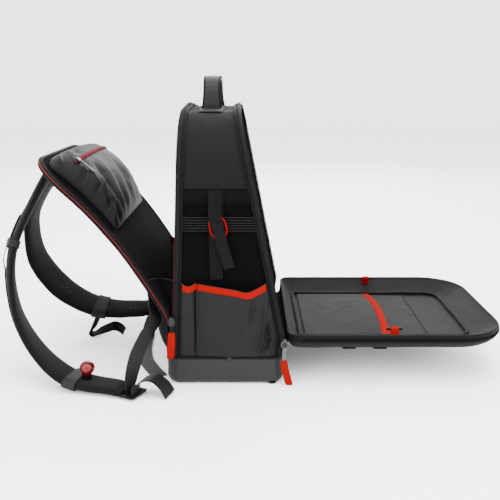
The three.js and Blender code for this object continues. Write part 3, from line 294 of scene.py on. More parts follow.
def repeatAlong(name, lines, shape, size, spacing, material, uneven=0.1, seed=3):
    # lines holds (points, ups) pairs in millimetres; one plain mesh comes back
    points, ups, edges = [], [], []
    for line, up in lines:
        first = len(points)
        line = np.asarray(line, float)
        points += (line * mm).tolist()
        ups += np.broadcast_to(np.asarray(up, float), line.shape).tolist()
        edges += [(first + k, first + k + 1) for k in range(len(line) - 1)]
    guide = bpy.data.meshes.new(name + "Guide")
    guide.from_pydata(points, edges, [])
    guide.attributes.new("up", "FLOAT_VECTOR", "POINT").data.foreach_set("vector",
        np.array(ups, np.float32).ravel())
    guideObject = bpy.data.objects.new(name + "Guide", guide)
    scene.collection.objects.link(guideObject)
    tree, sockets = repeatTrees[shape]
    modifier = guideObject.modifiers.new("repeat", "NODES")
    modifier.node_group = tree
    values = {"Spacing": spacing * mm, "Size": [x * mm for x in size], "Uneven": uneven, "Seed": seed,
        "Material": material}
    for label, value in values.items():
        modifier[sockets[label]] = value
    bpy.context.view_layer.update()
    evaluated = guideObject.evaluated_get(bpy.context.evaluated_depsgraph_get())
    mesh = bpy.data.meshes.new_from_object(evaluated)
    mesh.name = name
    bpy.data.objects.remove(guideObject)
    made = bpy.data.objects.new(name, mesh)
    scene.collection.objects.link(made)
    return made


# finishes
def shader(name):
    material = bpy.data.materials.new(name)
    material.use_nodes = True
    return material, material.node_tree, material.node_tree.nodes["Principled BSDF"]


def calc(tree, operation, a, b=None, c=None):
    node = tree.nodes.new("ShaderNodeMath")
    node.operation = operation
    for k, value in enumerate((a, b, c)):
        if value is None:
            continue
        if isinstance(value, (int, float)):
            node.inputs[k].default_value = value
        else:
            tree.links.new(value, node.inputs[k])
    return node.outputs[0]


def blended(tree, share, low, high):
    node = tree.nodes.new("ShaderNodeMix")
    node.data_type = "RGBA"
    for socket, value in ((node.inputs[6], low), (node.inputs[7], high)):
        if isinstance(value, tuple):
            socket.default_value = (*value, 1)
        else:
            tree.links.new(value, socket)
    tree.links.new(share, node.inputs[0])
    return node.outputs[2]


def cloudy(tree, scale, detail=3.0, rough=0.55, stretch=(1, 1, 1), distortion=0.0):
    coords, mapping, clouds = (tree.nodes.new(k) for k in ("ShaderNodeTexCoord", "ShaderNodeMapping",
        "ShaderNodeTexNoise"))
    mapping.inputs["Scale"].default_value = stretch
    clouds.inputs["Scale"].default_value = scale
    clouds.inputs["Detail"].default_value = detail
    clouds.inputs["Roughness"].default_value = rough
    clouds.inputs["Distortion"].default_value = distortion
    tree.links.new(coords.outputs["Object"], mapping.inputs[0])
    tree.links.new(mapping.outputs[0], clouds.inputs["Vector"])
    return clouds.outputs[0]


def raisedBy(tree, bsdf, layers):
    # layers of (height socket, strength, distance in millimetres), the widest first
    normal = None
    for height, strength, distance in layers:
        bump = tree.nodes.new("ShaderNodeBump")
        bump.inputs["Strength"].default_value = strength
        bump.inputs["Distance"].default_value = distance * mm
        tree.links.new(height, bump.inputs["Height"])
        if normal is not None:
            tree.links.new(normal, bump.inputs["Normal"])
        normal = bump.outputs[0]
    tree.links.new(normal, bsdf.inputs["Normal"])


def clothUv(tree, threadU, threadV):
    coords = tree.nodes.new("ShaderNodeTexCoord")
    split = tree.nodes.new("ShaderNodeSeparateXYZ")
    tree.links.new(coords.outputs["UV"], split.inputs[0])
    return calc(tree, "DIVIDE", split.outputs[0], threadU * mm), calc(tree, "DIVIDE", split.outputs[1],
        threadV * mm)


def arch(tree, value):
    return calc(tree, "ABSOLUTE", calc(tree, "SINE", calc(tree, "MULTIPLY", value, math.pi)))


def plainWeave(tree, u, v):
    both = calc(tree, "ADD", calc(tree, "FLOOR", u), calc(tree, "FLOOR", v))
    turn = calc(tree, "ABSOLUTE", calc(tree, "MODULO", both, 2.0))
    over = calc(tree, "MULTIPLY", arch(tree, u), turn)
    under = calc(tree, "MULTIPLY", arch(tree, v), calc(tree, "SUBTRACT", 1.0, turn))
    return calc(tree, "ADD", over, under)


def clothFinish(name, look):
    material, tree, bsdf = shader(name)
    u, v = clothUv(tree, look["thread"], look["thread"])
    weave = plainWeave(tree, u, v)
    yarn = cloudy(tree, 900, 2, 0.6)
    tone = cloudy(tree, look.get("toneScale", 22), 4, 0.6, distortion=0.6)
    share = calc(tree, "ADD", calc(tree, "MULTIPLY", weave, 0.42),
        calc(tree, "ADD", calc(tree, "MULTIPLY", tone, 0.5), calc(tree, "MULTIPLY", yarn, 0.3)))
    share = calc(tree, "SUBTRACT", share, 0.14)
    tree.links.new(blended(tree, share, look["dark"], look["light"]), bsdf.inputs["Base Color"])
    rough = calc(tree, "ADD", look["rough"] - 0.06, calc(tree, "MULTIPLY", tone, 0.14))
    tree.links.new(rough, bsdf.inputs["Roughness"])
    bsdf.inputs["Sheen Weight"].default_value = look.get("sheen", 0.02)
    bsdf.inputs["Sheen Roughness"].default_value = 0.45
    bsdf.inputs["Specular IOR Level"].default_value = look.get("specular", 0.06)
    crease = cloudy(tree, look.get("creaseScale", 34), 3, 0.5, distortion=1.2)
    raisedBy(tree, bsdf, [(crease, look.get("crease", 0.2), 2.2),
        (weave, look.get("relief", 0.55), look["thread"] * 0.35), (yarn, 0.2, 0.25)])
    return material


def webbingFinish(name, look):
    material, tree, bsdf = shader(name)
    u, v = clothUv(tree, look["thread"], look["thread"] * 1.25)
    diagonal = arch(tree, calc(tree, "ADD", u, calc(tree, "MULTIPLY", v, 0.5)))
    ribs = arch(tree, v)
    relief = calc(tree, "ADD", calc(tree, "MULTIPLY", diagonal, 0.5), calc(tree, "MULTIPLY", ribs, 0.5))
    tone = cloudy(tree, 26, 3, 0.6)
    yarn = cloudy(tree, 1100, 2, 0.6)
    share = calc(tree, "ADD", calc(tree, "MULTIPLY", relief, 0.5),
        calc(tree, "ADD", calc(tree, "MULTIPLY", tone, 0.45), calc(tree, "MULTIPLY", yarn, 0.25)))
    share = calc(tree, "SUBTRACT", share, 0.12)
    tree.links.new(blended(tree, share, look["dark"], look["light"]), bsdf.inputs["Base Color"])
    tree.links.new(calc(tree, "ADD", look["rough"] - 0.05, calc(tree, "MULTIPLY", tone, 0.12)),
        bsdf.inputs["Roughness"])
    bsdf.inputs["Sheen Weight"].default_value = look.get("sheen", 0.015)
    bsdf.inputs["Sheen Roughness"].default_value = 0.35
    bsdf.inputs["Specular IOR Level"].default_value = look.get("specular", 0.08)
    raisedBy(tree, bsdf, [(tone, 0.15, 1.5), (relief, 0.6, 0.35), (yarn, 0.2, 0.2)])
    return material


def meshFinish(name, look):
    # spacer mesh: rows of small round holes in a knitted face
    material, tree, bsdf = shader(name)
    u, v = clothUv(tree, look["pitch"], look["pitch"] * 0.87)
    shifted = calc(tree, "ADD", u, calc(tree, "MULTIPLY", calc(tree, "MODULO", calc(tree, "FLOOR", v), 2.0),
        0.5))
    du = calc(tree, "SUBTRACT", calc(tree, "FRACT", shifted), 0.5)
    dv = calc(tree, "SUBTRACT", calc(tree, "FRACT", v), 0.5)
    away = calc(tree, "SQRT", calc(tree, "ADD", calc(tree, "MULTIPLY", du, du),
        calc(tree, "MULTIPLY", dv, dv)))
    solid = tree.nodes.new("ShaderNodeMapRange")
    solid.interpolation_type = "SMOOTHSTEP"
    solid.inputs["From Min"].default_value, solid.inputs["From Max"].default_value = 0.16, 0.36
    tree.links.new(away, solid.inputs["Value"])
    yarn = cloudy(tree, 1000, 2, 0.6)
    tone = cloudy(tree, 24, 3, 0.6)
    share = calc(tree, "MULTIPLY", solid.outputs[0],
        calc(tree, "ADD", calc(tree, "MULTIPLY", yarn, 0.5), calc(tree, "MULTIPLY", tone, 0.7)))
    tree.links.new(blended(tree, share, look["dark"], look["light"]), bsdf.inputs["Base Color"])
    bsdf.inputs["Roughness"].default_value = look["rough"]
    bsdf.inputs["Sheen Weight"].default_value = 0.03
    bsdf.inputs["Specular IOR Level"].default_value = 0.1
    raisedBy(tree, bsdf, [(tone, 0.2, 2.0), (solid.outputs[0], 0.7, 0.5), (yarn, 0.25, 0.25)])
    return material


def mouldedFinish(name, look):
    material, tree, bsdf = shader(name)
    tone = cloudy(tree, look.get("toneScale", 9), 4, 0.6)
    pits = tree.nodes.new("ShaderNodeTexVoronoi")
    coords = tree.nodes.new("ShaderNodeTexCoord")
    pits.inputs["Scale"].default_value = look["grain"]
    tree.links.new(coords.outputs["Object"], pits.inputs["Vector"])
    scuff = cloudy(tree, 140, 6, 0.75, stretch=(1, 1, 4), distortion=2.0)
    tree.links.new(blended(tree, tone, look["dark"], look["light"]), bsdf.inputs["Base Color"])
    rough = calc(tree, "ADD", look["rough"] - 0.08, calc(tree, "MULTIPLY", scuff, 0.16))
    tree.links.new(rough, bsdf.inputs["Roughness"])
    bsdf.inputs["Specular IOR Level"].default_value = look.get("specular", 0.3)
    bsdf.inputs["Coat Weight"].default_value = look.get("coat", 0.0)
    bsdf.inputs["Coat Roughness"].default_value = 0.08
    bsdf.inputs["Metallic"].default_value = look.get("metallic", 0.0)
    raisedBy(tree, bsdf, [(scuff, 0.06, 0.3), (pits.outputs["Distance"], look.get("relief", 0.25), 0.2)])
    return material


def coilFinish(name, look):
    material, tree, bsdf = shader(name)
    tone = cloudy(tree, 240, 2, 0.6)
    tree.links.new(blended(tree, tone, look["dark"], look["light"]), bsdf.inputs["Base Color"])
    bsdf.inputs["Roughness"].default_value = look["rough"]
    bsdf.inputs["Specular IOR Level"].default_value = look.get("specular", 0.16)
    raisedBy(tree, bsdf, [(cloudy(tree, 1500, 2, 0.5), 0.2, 0.1)])
    return material


finishes = {
    "charcoal": clothFinish("charcoalCloth", {"dark": (0.00174, 0.00174, 0.00183),
        "light": (0.00570, 0.00575, 0.00595), "thread": 0.75, "rough": 0.8}),
    "sidePocket": clothFinish("sidePocketCloth", {"dark": (0.00174, 0.00174, 0.00183),
        "light": (0.00570, 0.00575, 0.00595), "thread": 0.75, "rough": 0.55, "specular": 0.09,
        "crease": 0.22, "relief": 0.3}),
    # back panel cloth: black cloth, its colour darkened further as painted shade for the bag's shadow on the panel's
    # inner face
    "panelClothWithPaintedShade": clothFinish("panelClothWithPaintedShade", {"dark": (0.00041, 0.00041, 0.00043),
        "light": (0.00187, 0.00187, 0.00193), "thread": 0.6, "rough": 0.82, "sheen": 0.004,
        "specular": 0.01, "crease": 0.15}),
    "blackCloth": clothFinish("blackCloth", {"dark": (0.00030, 0.00030, 0.00030),
        "light": (0.00120, 0.00120, 0.00123), "thread": 0.75, "rough": 0.85, "sheen": 0.01,
        "specular": 0.03}),
    "lining": clothFinish("greyLining", {"dark": (0.00264, 0.00264, 0.00267),
        "light": (0.00726, 0.00730, 0.00739), "thread": 0.5, "rough": 0.7, "crease": 0.32}),
    "pocketCloth": clothFinish("pocketCloth", {"dark": (0.00051, 0.00051, 0.00053),
        "light": (0.00197, 0.00199, 0.00208), "thread": 0.4, "rough": 0.58, "sheen": 0.01,
        "specular": 0.085, "crease": 0.18, "relief": 0.25}),
    "binding": webbingFinish("bindingTape", {"dark": (0.00036, 0.00036, 0.00036),
        "light": (0.00180, 0.00180, 0.00186), "thread": 0.9, "rough": 0.7}),
    "webbing": webbingFinish("webbing", {"dark": (0.00124, 0.00124, 0.00128),
        "light": (0.00516, 0.00520, 0.00536), "thread": 1.5, "rough": 0.5, "specular": 0.14}),
    "webbingBlack": webbingFinish("webbingBlack", {"dark": (0.00038, 0.00038, 0.00038),
        "light": (0.00179, 0.00179, 0.00185), "thread": 1.5, "rough": 0.6, "specular": 0.05}),
    "webbingSide": webbingFinish("webbingSide", {"dark": (0.00064, 0.00064, 0.00065),
        "light": (0.00280, 0.00281, 0.00290), "thread": 1.5, "rough": 0.6, "specular": 0.05}),
    "greyPatch": webbingFinish("greyPatch", {"dark": (0.00294, 0.00298, 0.00302),
        "light": (0.01008, 0.01012, 0.01029), "thread": 1.2, "rough": 0.65}),
    "redTape": webbingFinish("redTape", {"dark": (0.110, 0.0004, 0.0003), "light": (0.185, 0.0012, 0.0008),
        "thread": 1.1, "rough": 0.85, "specular": 0.02, "sheen": 0.0}),
    "airMesh": meshFinish("airMesh", {"dark": (0.00018, 0.00018, 0.00018),
        "light": (0.00178, 0.00178, 0.00184), "pitch": 2.6, "rough": 0.9}),
    "base": mouldedFinish("mouldedBase", {"dark": (0.00534, 0.00539, 0.00551),
        "light": (0.00842, 0.00848, 0.00865), "grain": 900, "rough": 0.48, "specular": 0.16}),
    "plastic": mouldedFinish("blackPlastic", {"dark": (0.00034, 0.00034, 0.00034),
        "light": (0.00084, 0.00084, 0.00086), "grain": 1500, "rough": 0.4, "relief": 0.12,
        "specular": 0.084}),
    "redPlastic": mouldedFinish("redPlastic", {"dark": (0.120, 0.0003, 0.0002),
        "light": (0.160, 0.0007, 0.0005), "grain": 1500, "rough": 0.6, "relief": 0.08, "specular": 0.03}),
    "redGloss": mouldedFinish("redGloss", {"dark": (0.05600, 0.00042, 0.00112),
        "light": (0.08400, 0.00098, 0.00210), "grain": 600, "rough": 0.26, "relief": 0.0, "coat": 0.12,
        "specular": 0.25}),
    "metal": mouldedFinish("sliderMetal", {"dark": (0.03500, 0.03500, 0.03650),
        "light": (0.11000, 0.11000, 0.11300), "grain": 1200, "rough": 0.26, "relief": 0.06,
        "metallic": 1.0}),
    "darkMetal": mouldedFinish("darkMetal", {"dark": (0.00840, 0.00840, 0.00900),
        "light": (0.03000, 0.03000, 0.03180), "grain": 1200, "rough": 0.28, "relief": 0.06,
        "metallic": 1.0}),
    "redCoil": coilFinish("redCoil", {"dark": (0.04480, 0.00078, 0.00168),
        "light": (0.09520, 0.00224, 0.00364), "rough": 0.45}),
    "blackCoil": coilFinish("blackCoil", {"dark": (0.00036, 0.00036, 0.00036),
        "light": (0.00150, 0.00150, 0.00153), "rough": 0.7, "specular": 0.06}),
    "thread": coilFinish("sewingThread", {"dark": (0.00216, 0.00216, 0.00222),
        "light": (0.00720, 0.00720, 0.00744), "rough": 0.6}),
    "greyThread": coilFinish("greyThread", {"dark": (0.00858, 0.00858, 0.00879),
        "light": (0.02244, 0.02244, 0.02283), "rough": 0.6}),
    "redThread": coilFinish("redThread", {"dark": (0.07280, 0.00067, 0.00050),
        "light": (0.13440, 0.00168, 0.00123), "rough": 0.6}),
}

floorMaterial, floorTree, floorShader = shader("paleFloor")
floorShader.inputs["Roughness"].default_value = 0.6
floorTree.links.new(blended(floorTree, cloudy(floorTree, 3, 2), (0.93, 0.93, 0.93), (0.96, 0.96, 0.96)),
    floorShader.inputs["Base Color"])
floorMesh = bpy.data.meshes.new("floor")
floorMesh.from_pydata([(-6, -6, 0), (6, -6, 0), (6, 6, 0), (-6, 6, 0)], [], [(0, 1, 2, 3)])
floorMesh.materials.append(floorMaterial)
floor = bpy.data.objects.new("floor", floorMesh)
scene.collection.objects.link(floor)
print("studio and finishes ready")

# shape of the bag; its top edges are a few millimetres narrower than the solids'
bag = {
    "baseDepth": 184, "baseWidth": 330, "baseHeight": 43, "baseCorner": 20, "edgeRound": 13, "baseWall": 4,
    "flange": 13, "trim": 3.6, "bandHalf": 160, "bandTop": 420, "bandCorner": 76, "bandThickness": 5,
    "rimWidth": 10, "rimProud": 6, "crown": 4.0, "zipFront": 76, "zipBack": 99, "frontFoot": 88,
    "frontAtZip": 92,
    "frontAtTop": 23, "backFoot": -81, "backAtTop": -64, "gap": 0.35,
}
bandFoot = bag["baseHeight"] + 2 * bag["gap"] + bag["trim"]
topEdge = bag["bandTop"] + bag["rimProud"]


def frontX(z):
    if z < bag["zipFront"]:
        return mixed(bag["frontFoot"], bag["frontAtZip"], (z - bandFoot) / (bag["zipFront"] - bandFoot))
    return mixed(bag["frontAtZip"], bag["frontAtTop"], (z - bag["zipFront"]) / (topEdge - bag["zipFront"]))


def backX(z):
    return mixed(bag["backFoot"], bag["backAtTop"], (z - bandFoot) / (topEdge - bandFoot))


def planLoop(x0, x1, half, corner0, corner1, steps):
    loop = []
    corners = [(x1 - corner1, corner1 - half, corner1, -90), (x1 - corner1, half - corner1, corner1, 0)]
    corners += [(x0 + corner0, half - corner0, corner0, 90), (x0 + corner0, corner0 - half, corner0, 180)]
    for cx, cy, radius, start in corners:
        for k in range(steps + 1):
            angle = math.radians(start + 90 * k / steps)
            loop.append((cx + radius * math.cos(angle), cy + radius * math.sin(angle)))
    return np.array(loop)


def evenLoop(loop, step):
    # points at even steps round a closed plan loop, so long straights can ripple too
    closed = np.vstack([loop, loop[:1]])
    length = np.concatenate([[0], np.cumsum(np.linalg.norm(np.diff(closed, axis=0), axis=1))])
    at = np.linspace(0, length[-1], int(length[-1] / step), endpoint=False)
    return np.stack([np.interp(at, length, closed[:, k]) for k in range(2)], axis=1)


def atHeight(loop, z):
    return np.column_stack([loop, np.full(len(loop), z)])


def topRise(y):
    # how far the crowned top stands over its flat height
    flat = bag["bandHalf"] - bag["bandCorner"]
    return bag["crown"] * (0.5 + 0.5 * math.cos(math.pi * min(1.0, abs(y) / flat)))


def hoop(step=5.0, low=bandFoot):
    # stations up the near side, over the top and down the far side: y, z, outward y, outward z
    corner, half, top = bag["bandCorner"], bag["bandHalf"], bag["bandTop"]
    leg = [(-half, z, -1, 0) for z in np.arange(low, top - corner, step)]
    turns = np.radians(np.linspace(180, 90, 26))
    arc = [(-half + corner + corner * math.cos(t), top - corner + corner * math.sin(t), math.cos(t),
        math.sin(t)) for t in turns]
    across = [(y, top + topRise(y), 0, 1) for y in np.arange(-half + corner + step, -0.1, step)]
    near = leg + arc + across
    return np.array(near + [(-y, z, -ny, nz) for y, z, ny, nz in reversed(near)])


# moulded base
baseLook = {"roundSteps": 9, "cornerSteps": 12, "waist": 0.7}


def baseLoop(inset):
    corner = max(2.0, bag["baseCorner"] - inset)
    half = bag["baseDepth"] / 2 - inset
    return planLoop(-half, half, bag["baseWidth"] / 2 - inset, corner, corner, baseLook["cornerSteps"])


def buildBase():
    radius, height, wall = bag["edgeRound"], bag["baseHeight"], bag["baseWall"]
    rings = [(radius + 30, 1.2), (radius + 6, 0.6), (radius + 1.5, 0.0)]
    for turn in np.radians(np.linspace(4, 90, baseLook["roundSteps"])):
        rings.append((radius * (1 - math.sin(turn)), radius * (1 - math.cos(turn))))
    waist = baseLook["waist"]
    rings += [(waist * 0.6, height * 0.45), (waist, height * 0.62), (waist * 0.6, height * 0.8),
        (0, height - 2), (0, height - 1), (0.3, height - 0.3), (1, height), (bag["flange"] - 0.5, height),
        (bag["flange"], height - 0.6)]
    rings += [(bag["flange"], height - 4), (wall + 1, height - 11), (wall, height - 14), (wall, radius),
        (radius, wall + 1), (radius + 30, wall + 0.5)]
    sections = [atHeight(baseLoop(inset), z) for inset, z in rings]
    return loftObject("baseTray", sections, [finishes["base"]], ends="fan", sharp=40)


onBag(buildBase(), "moulded_base", "base_tray")


def buildTrim():
    low = bag["baseHeight"] + bag["gap"]
    high = low + bag["trim"]
    middle, half = (low + high) / 2, bag["trim"] / 2
    profile = [(-0.9 + 1.6 * (1 - math.cos(t)), middle + half * math.sin(t))
        for t in np.radians(np.linspace(-80, 80, 9))]
    profile += [(6, high), (bag["flange"] - 1, high), (bag["flange"] - 0.6, middle),
        (bag["flange"] - 1, low), (6, low)]
    loops = [atHeight(evenLoop(baseLoop(inset), 3.0)[:336], z) for inset, z in profile]
    count = min(len(loop) for loop in loops)
    return count, profile


def steadyLoop(loopAt, insets, count):
    # the same number of points round each inset of a loop
    loops = []
    for inset in insets:
        loop = loopAt(inset)
        closed = np.vstack([loop, loop[:1]])
        length = np.concatenate([[0], np.cumsum(np.linalg.norm(np.diff(closed, axis=0), axis=1))])
        at = np.linspace(0, length[-1], count, endpoint=False)
        loops.append(np.stack([np.interp(at, length, closed[:, k]) for k in range(2)], axis=1))
    return loops


_, trimProfile = buildTrim()
trimLoops = steadyLoop(baseLoop, [inset for inset, _ in trimProfile], 330)
trimSections = []
for loop, (inset, z) in zip(trimLoops, trimProfile):
    ring = atHeight(loop, z)
    ring[:, 2] += 0.25 * grain(ring, 30, 4.0)
    trimSections.append(ring)
onBag(loftObject("baseTrim", trimSections, [finishes["binding"]], ring=True, sharp=60), "binding",
    "base_trim")


def turned(name, centre, axis, profile, material, slotName, sides=28):
    # a round piece turned about an axis: profile rows of (radius, height)
    axis = np.array(axis, float) / np.linalg.norm(axis)
    a = np.cross(axis, (0, 0, 1) if abs(axis[2]) < 0.9 else (1, 0, 0))
    a /= np.linalg.norm(a)
    b = np.cross(axis, a)
    turns = np.radians(np.linspace(0, 360, sides, endpoint=False))
    rows = [[np.array(centre) + a * r * math.cos(t) + b * r * math.sin(t) + axis * h for t in turns] for r,
        h in profile]
    return onBag(loftObject(name, rows, [material], ends="fan", sharp=50), slotName)


turned("baseRivet", (7, -164.2, 43.6), (0, -1, 0),
    [(3.4, 0), (3.5, 1.2), (3.1, 2.0), (2.2, 2.5), (1.0, 2.8), (0.3, 2.9)], finishes["darkMetal"],
    "slider_metal")
for side in (-1, 1):
    footProfile = [(5.6, 0.05), (6.4, 0.5), (6.6, 1.6), (6.2, 3.2), (5.0, 4.2), (2.0, 4.4)]
    turned("baseFoot" + ("Near" if side < 0 else "Far"), (74, side * 156.5, 0), (0, 0, 1), footProfile,
        finishes["plastic"], "black_plastic")
print("base done")

# side band and its rims
bandLook = {"columns": 26, "ripple": 1.1, "rippleSize": 48, "darkBelow": 309}


def buildBand():
    stations = hoop(5.0)
    outer, inner = [], []
    for y, z, ny, nz in stations:
        x0, x1 = backX(z), frontX(z) - bag["rimWidth"] / 2
        row = np.array([(mixed(x0, x1, u), y, z) for u in np.linspace(0, 1, bandLook["columns"])])
        sink = (0.5 + 0.5 * grain(row, bandLook["rippleSize"], 1.0)) * bandLook["ripple"]
        sink *= np.sin(np.pi * np.linspace(0, 1, bandLook["columns"])) ** 0.5
        outer.append(row - np.outer(sink, (0, ny, nz)))
        inner.append(row - np.outer(sink * 0 + bag["bandThickness"], (0, ny, nz)))
    sections = [np.vstack([a, b[::-1]]) for a, b in zip(outer, inner)]
    lows = [(stations[i][1] + stations[min(i + 1, len(stations) - 1)][1]) / 2 < bandLook["darkBelow"]
        for i in range(len(stations))]
    return loftObject("sideBand", sections, [finishes["charcoal"], finishes["blackCloth"]], pick=lambda i,
        j: 1 if lows[i] or j >= bandLook["columns"] else 0)


onBag(buildBand(), "cloth", "side_band")

# a rim's section: along from its inner edge to the opening, height off the band
rimProfile = [(-10, 0.45), (-9.9, 2.2), (-9.2, 3.3), (-8.1, 3.6), (-7.0, 3.1), (-6.4, 2.2), (-5.8, 2.6),
    (-5.0, 4.4), (-3.6, 5.7), (-2.0, 5.9), (-0.7, 5.2), (0, 3.8), (0.1, 2.2), (-0.2, 0.9), (-1.2, 0.45),
    (-5.5, 0.45)]


def buildRim(name, edge, lip, seed):
    sections = []
    for y, z, ny, nz in hoop(4.0):
        wave = 0.35 * float(grain([(y, z, 0)], 34, seed)[0])
        row = []
        for along, out in rimProfile:
            lift = out + (wave if out > 1 else 0)
            height = z + nz * lift
            row.append((edge(height) + lip * along, y + ny * lift, height))
        sections.append(row)
    return loftObject(name, sections, [finishes["binding"], finishes["charcoal"]], ends="fan", sharp=65,
        pick=lambda i, j: 1 if 6 <= j <= 9 else 0)


onBag(buildRim("rimFront", frontX, 1, 2.0), "binding", "rim_front")
onBag(buildRim("rimBack", backX, -1, 7.0), "binding", "rim_back")


def stationLine(edge, lip, along, out, low, step=3.0):
    points, ups = [], []
    for y, z, ny, nz in hoop(step, low):
        height = z + nz * out
        points.append((edge(height) + lip * along, y + ny * out, height))
        ups.append((0, ny, nz))
    return np.array(points), np.array(ups)


zipLook = {"toothLength": 2.4, "toothWidth": 1.05, "toothHeight": 1.4, "pitch": 1.55}


def buildOpeningZip(name, edge, lip, low, coil, tape, node, slotName):
    points, ups = stationLine(edge, lip, 1.1, 1.8, low)
    teeth = repeatAlong(name + "Teeth", [(points, ups)], "Bar",
        (zipLook["toothWidth"], zipLook["toothLength"], zipLook["toothHeight"]), zipLook["pitch"], coil,
        0.04)
    onBag(teeth, slotName)
    rows = []
    for y, z, ny, nz in hoop(4.0, low):
        row = []
        for along, out in ((0.4, -1.4), (1.5, -1.4), (1.6, 0), (1.5, 3.2), (0.4, 3.2)):
            height = z + nz * out
            row.append((edge(height) + lip * along, y + ny * out, height))
        rows.append(row)
    onBag(loftObject(name, rows, [tape], ends="fan", sharp=60), slotName, node)


buildOpeningZip("zipFrontBody", frontX, 1, bag["zipFront"] + 4, finishes["blackCoil"], finishes["binding"],
    "zip_front_body", "black_plastic")
buildOpeningZip("zipBackBody", backX, -1, bag["zipBack"] + 8, finishes["redCoil"], finishes["binding"],
    "zip_back_body", "red_coil")

seamLines = []
for edge, lip in ((frontX, 1), (backX, -1)):
    seamLines.append(stationLine(edge, lip, -6.4, 2.9, bandFoot + 2))
onBag(repeatAlong("rimStitches", seamLines, "Thread", (2.6, 0.6, 0.5), 3.6, finishes["thread"]), "binding")
print("band and rims done")


# inner walls: plain sheets, a little slack
def slackSheet(name, corners, thickness, material, ripple, steps=(40, 24), seed=1.0):
    a, b, c, d = (np.array(p, float) for p in corners)
    grid = np.array([[mixed(mixed(a, b, u), mixed(d, c, u), v) for u in np.linspace(0, 1, steps[0])]
        for v in np.linspace(0, 1, steps[1])])
    normal = gridNormals(grid)
    edge = np.outer(np.sin(np.pi * np.linspace(0, 1, steps[1])),
        np.sin(np.pi * np.linspace(0, 1, steps[0]))) ** 0.4
    grid = grid + normal * (grain(grid, 60, seed) * ripple * edge)[..., None]
    return clothObject(name, grid, thickness, [material])


def buildDivider():
    inset = bag["bandThickness"] + bag["gap"]
    rows = []
    for y, z, ny, nz in hoop(6.0)[: len(hoop(6.0)) // 2]:
        yIn, zIn = y - ny * inset, z - nz * inset
        rows.append([(-42, t * abs(yIn), zIn) for t in np.linspace(-1, 1, 40)])
    grid = np.array(rows)
    grid[..., 0] += 2.0 + 1.4 * grain(grid, 70, 3.0) * np.sin(np.pi * np.linspace(0, 1, len(grid)))[:,
        None] ** 0.5
    return clothObject("dividerWall", grid, 3.6, [finishes["blackCloth"]], inward=1)


onBag(buildDivider(), "dark_cloth", "divider")
footHalf = bag["bandHalf"] - bag["bandThickness"] - bag["gap"]
onBag(slackSheet("frontFootPanel", [(82.8, -footHalf, bandFoot), (82.8, footHalf, bandFoot),
    (82.8, footHalf, 74), (82.8, -footHalf, 74)], 1.7, finishes["blackCloth"], 0.3, (60, 8)), "dark_cloth",
    "front_foot_panel")

# lid
lid = {
    "hingeX": 99, "endX": 448, "half": 164, "corner": 78, "hingeCorner": 18, "hingeShare": 0.45,
    "floorInset": 48, "floor": 59, "pipe": 5, "pocketEdge": 331, "hem": 255, "hemRise": 8.5,
    "hemBow": 4.0, "count": 420,
}


def lidLoop(inset):
    share = lid["hingeShare"] if inset > 0 else 1
    return planLoop(lid["hingeX"] + inset * share, lid["endX"] - inset, lid["half"] - inset,
        max(4, lid["hingeCorner"] - inset * 0.3), max(8, lid["corner"] - inset), 16)


lidOutside = [(88, 48.8), (75, 48.9), (60, 49), (47, 49.8), (34, 51), (24, 53.4), (14, 57), (8, 61),
    (4, 64.5), (1.6, 67.5), (0.6, 69.5), (0.4, 71.4), (1.6, 72.4), (1.6, 74.0), (0.4, 75), (0.3, 77.5),
    (0.8, 79.6)]
lidInside = [(2.0, 80.8), (3.4, 81), (5.2, 80.4), (7.0, 78.2), (9.5, 76.4), (13, 74.6), (19, 71.0),
    (26, 67.0), (33, 63.4), (39, 61.0), (43, 59.9), (48, 59.4), (56, 59.1), (70, 59), (88, 59)]


def buildLid():
    profile = lidOutside + lidInside
    loops = steadyLoop(lidLoop, [inset for inset, _ in profile], lid["count"])
    sections = []
    for k, (loop, (inset, z)) in enumerate(zip(loops, profile)):
        ring = atHeight(loop, z)
        lining = k >= len(lidOutside) + 4
        belly = k < 9
        if lining:
            soft = math.sin(math.pi * min(1, max(0, (inset - 6) / 40)))
            ring[:, 2] += 1.1 * soft * grain(ring * (1, 1, 0), 42, 5.0,
                3) + 0.5 * soft * grain(ring * (1, 1, 0), 15, 2.0, 2)
        if belly:
            ring[:, 2] -= 0.9 * np.maximum(0, grain(ring, 55, 9.0, 2))
        sections.append(ring)
    split = len(lidOutside)
    return loftObject("lidShell", sections, [finishes["charcoal"], finishes["lining"], finishes["binding"]],
        ends="fan", sharp=75, pick=lambda i, j: 1 if i >= split + 2 else (2 if i >= split - 5 else 0))


onBag(buildLid(), "cloth", "lid_shell")


def lidLine(inset, z, count=700, wobble=0.0, seed=0.0, part=(0.0, 1.0)):
    loop = steadyLoop(lidLoop, [inset], count)[0]
    line = atHeight(loop, z)
    if wobble:
        n = np.column_stack([grain(line, 26, seed), grain(line, 26, seed + 5),
            0.6 * grain(line, 26, seed + 9)])
        line = line + n * wobble
    first, last = int(part[0] * count), int(part[1] * count)
    return line[first:last]


# black binding over the lid's rim, and a thinner line of piping under the zip
onBag(tubeObject("lidRimBinding", lidLine(3.0, 79.2, wobble=0.25, seed=3.0), 2.7, [finishes["binding"]],
    closed=True, squash=0.95), "binding")
onBag(tubeObject("lidPiping", lidLine(lid["floorInset"] + 1, 62.4, wobble=1.0, seed=6.0),
    lid["pipe"] / 2 + 0.6, [finishes["binding"]], closed=True), "binding", "lid_piping")
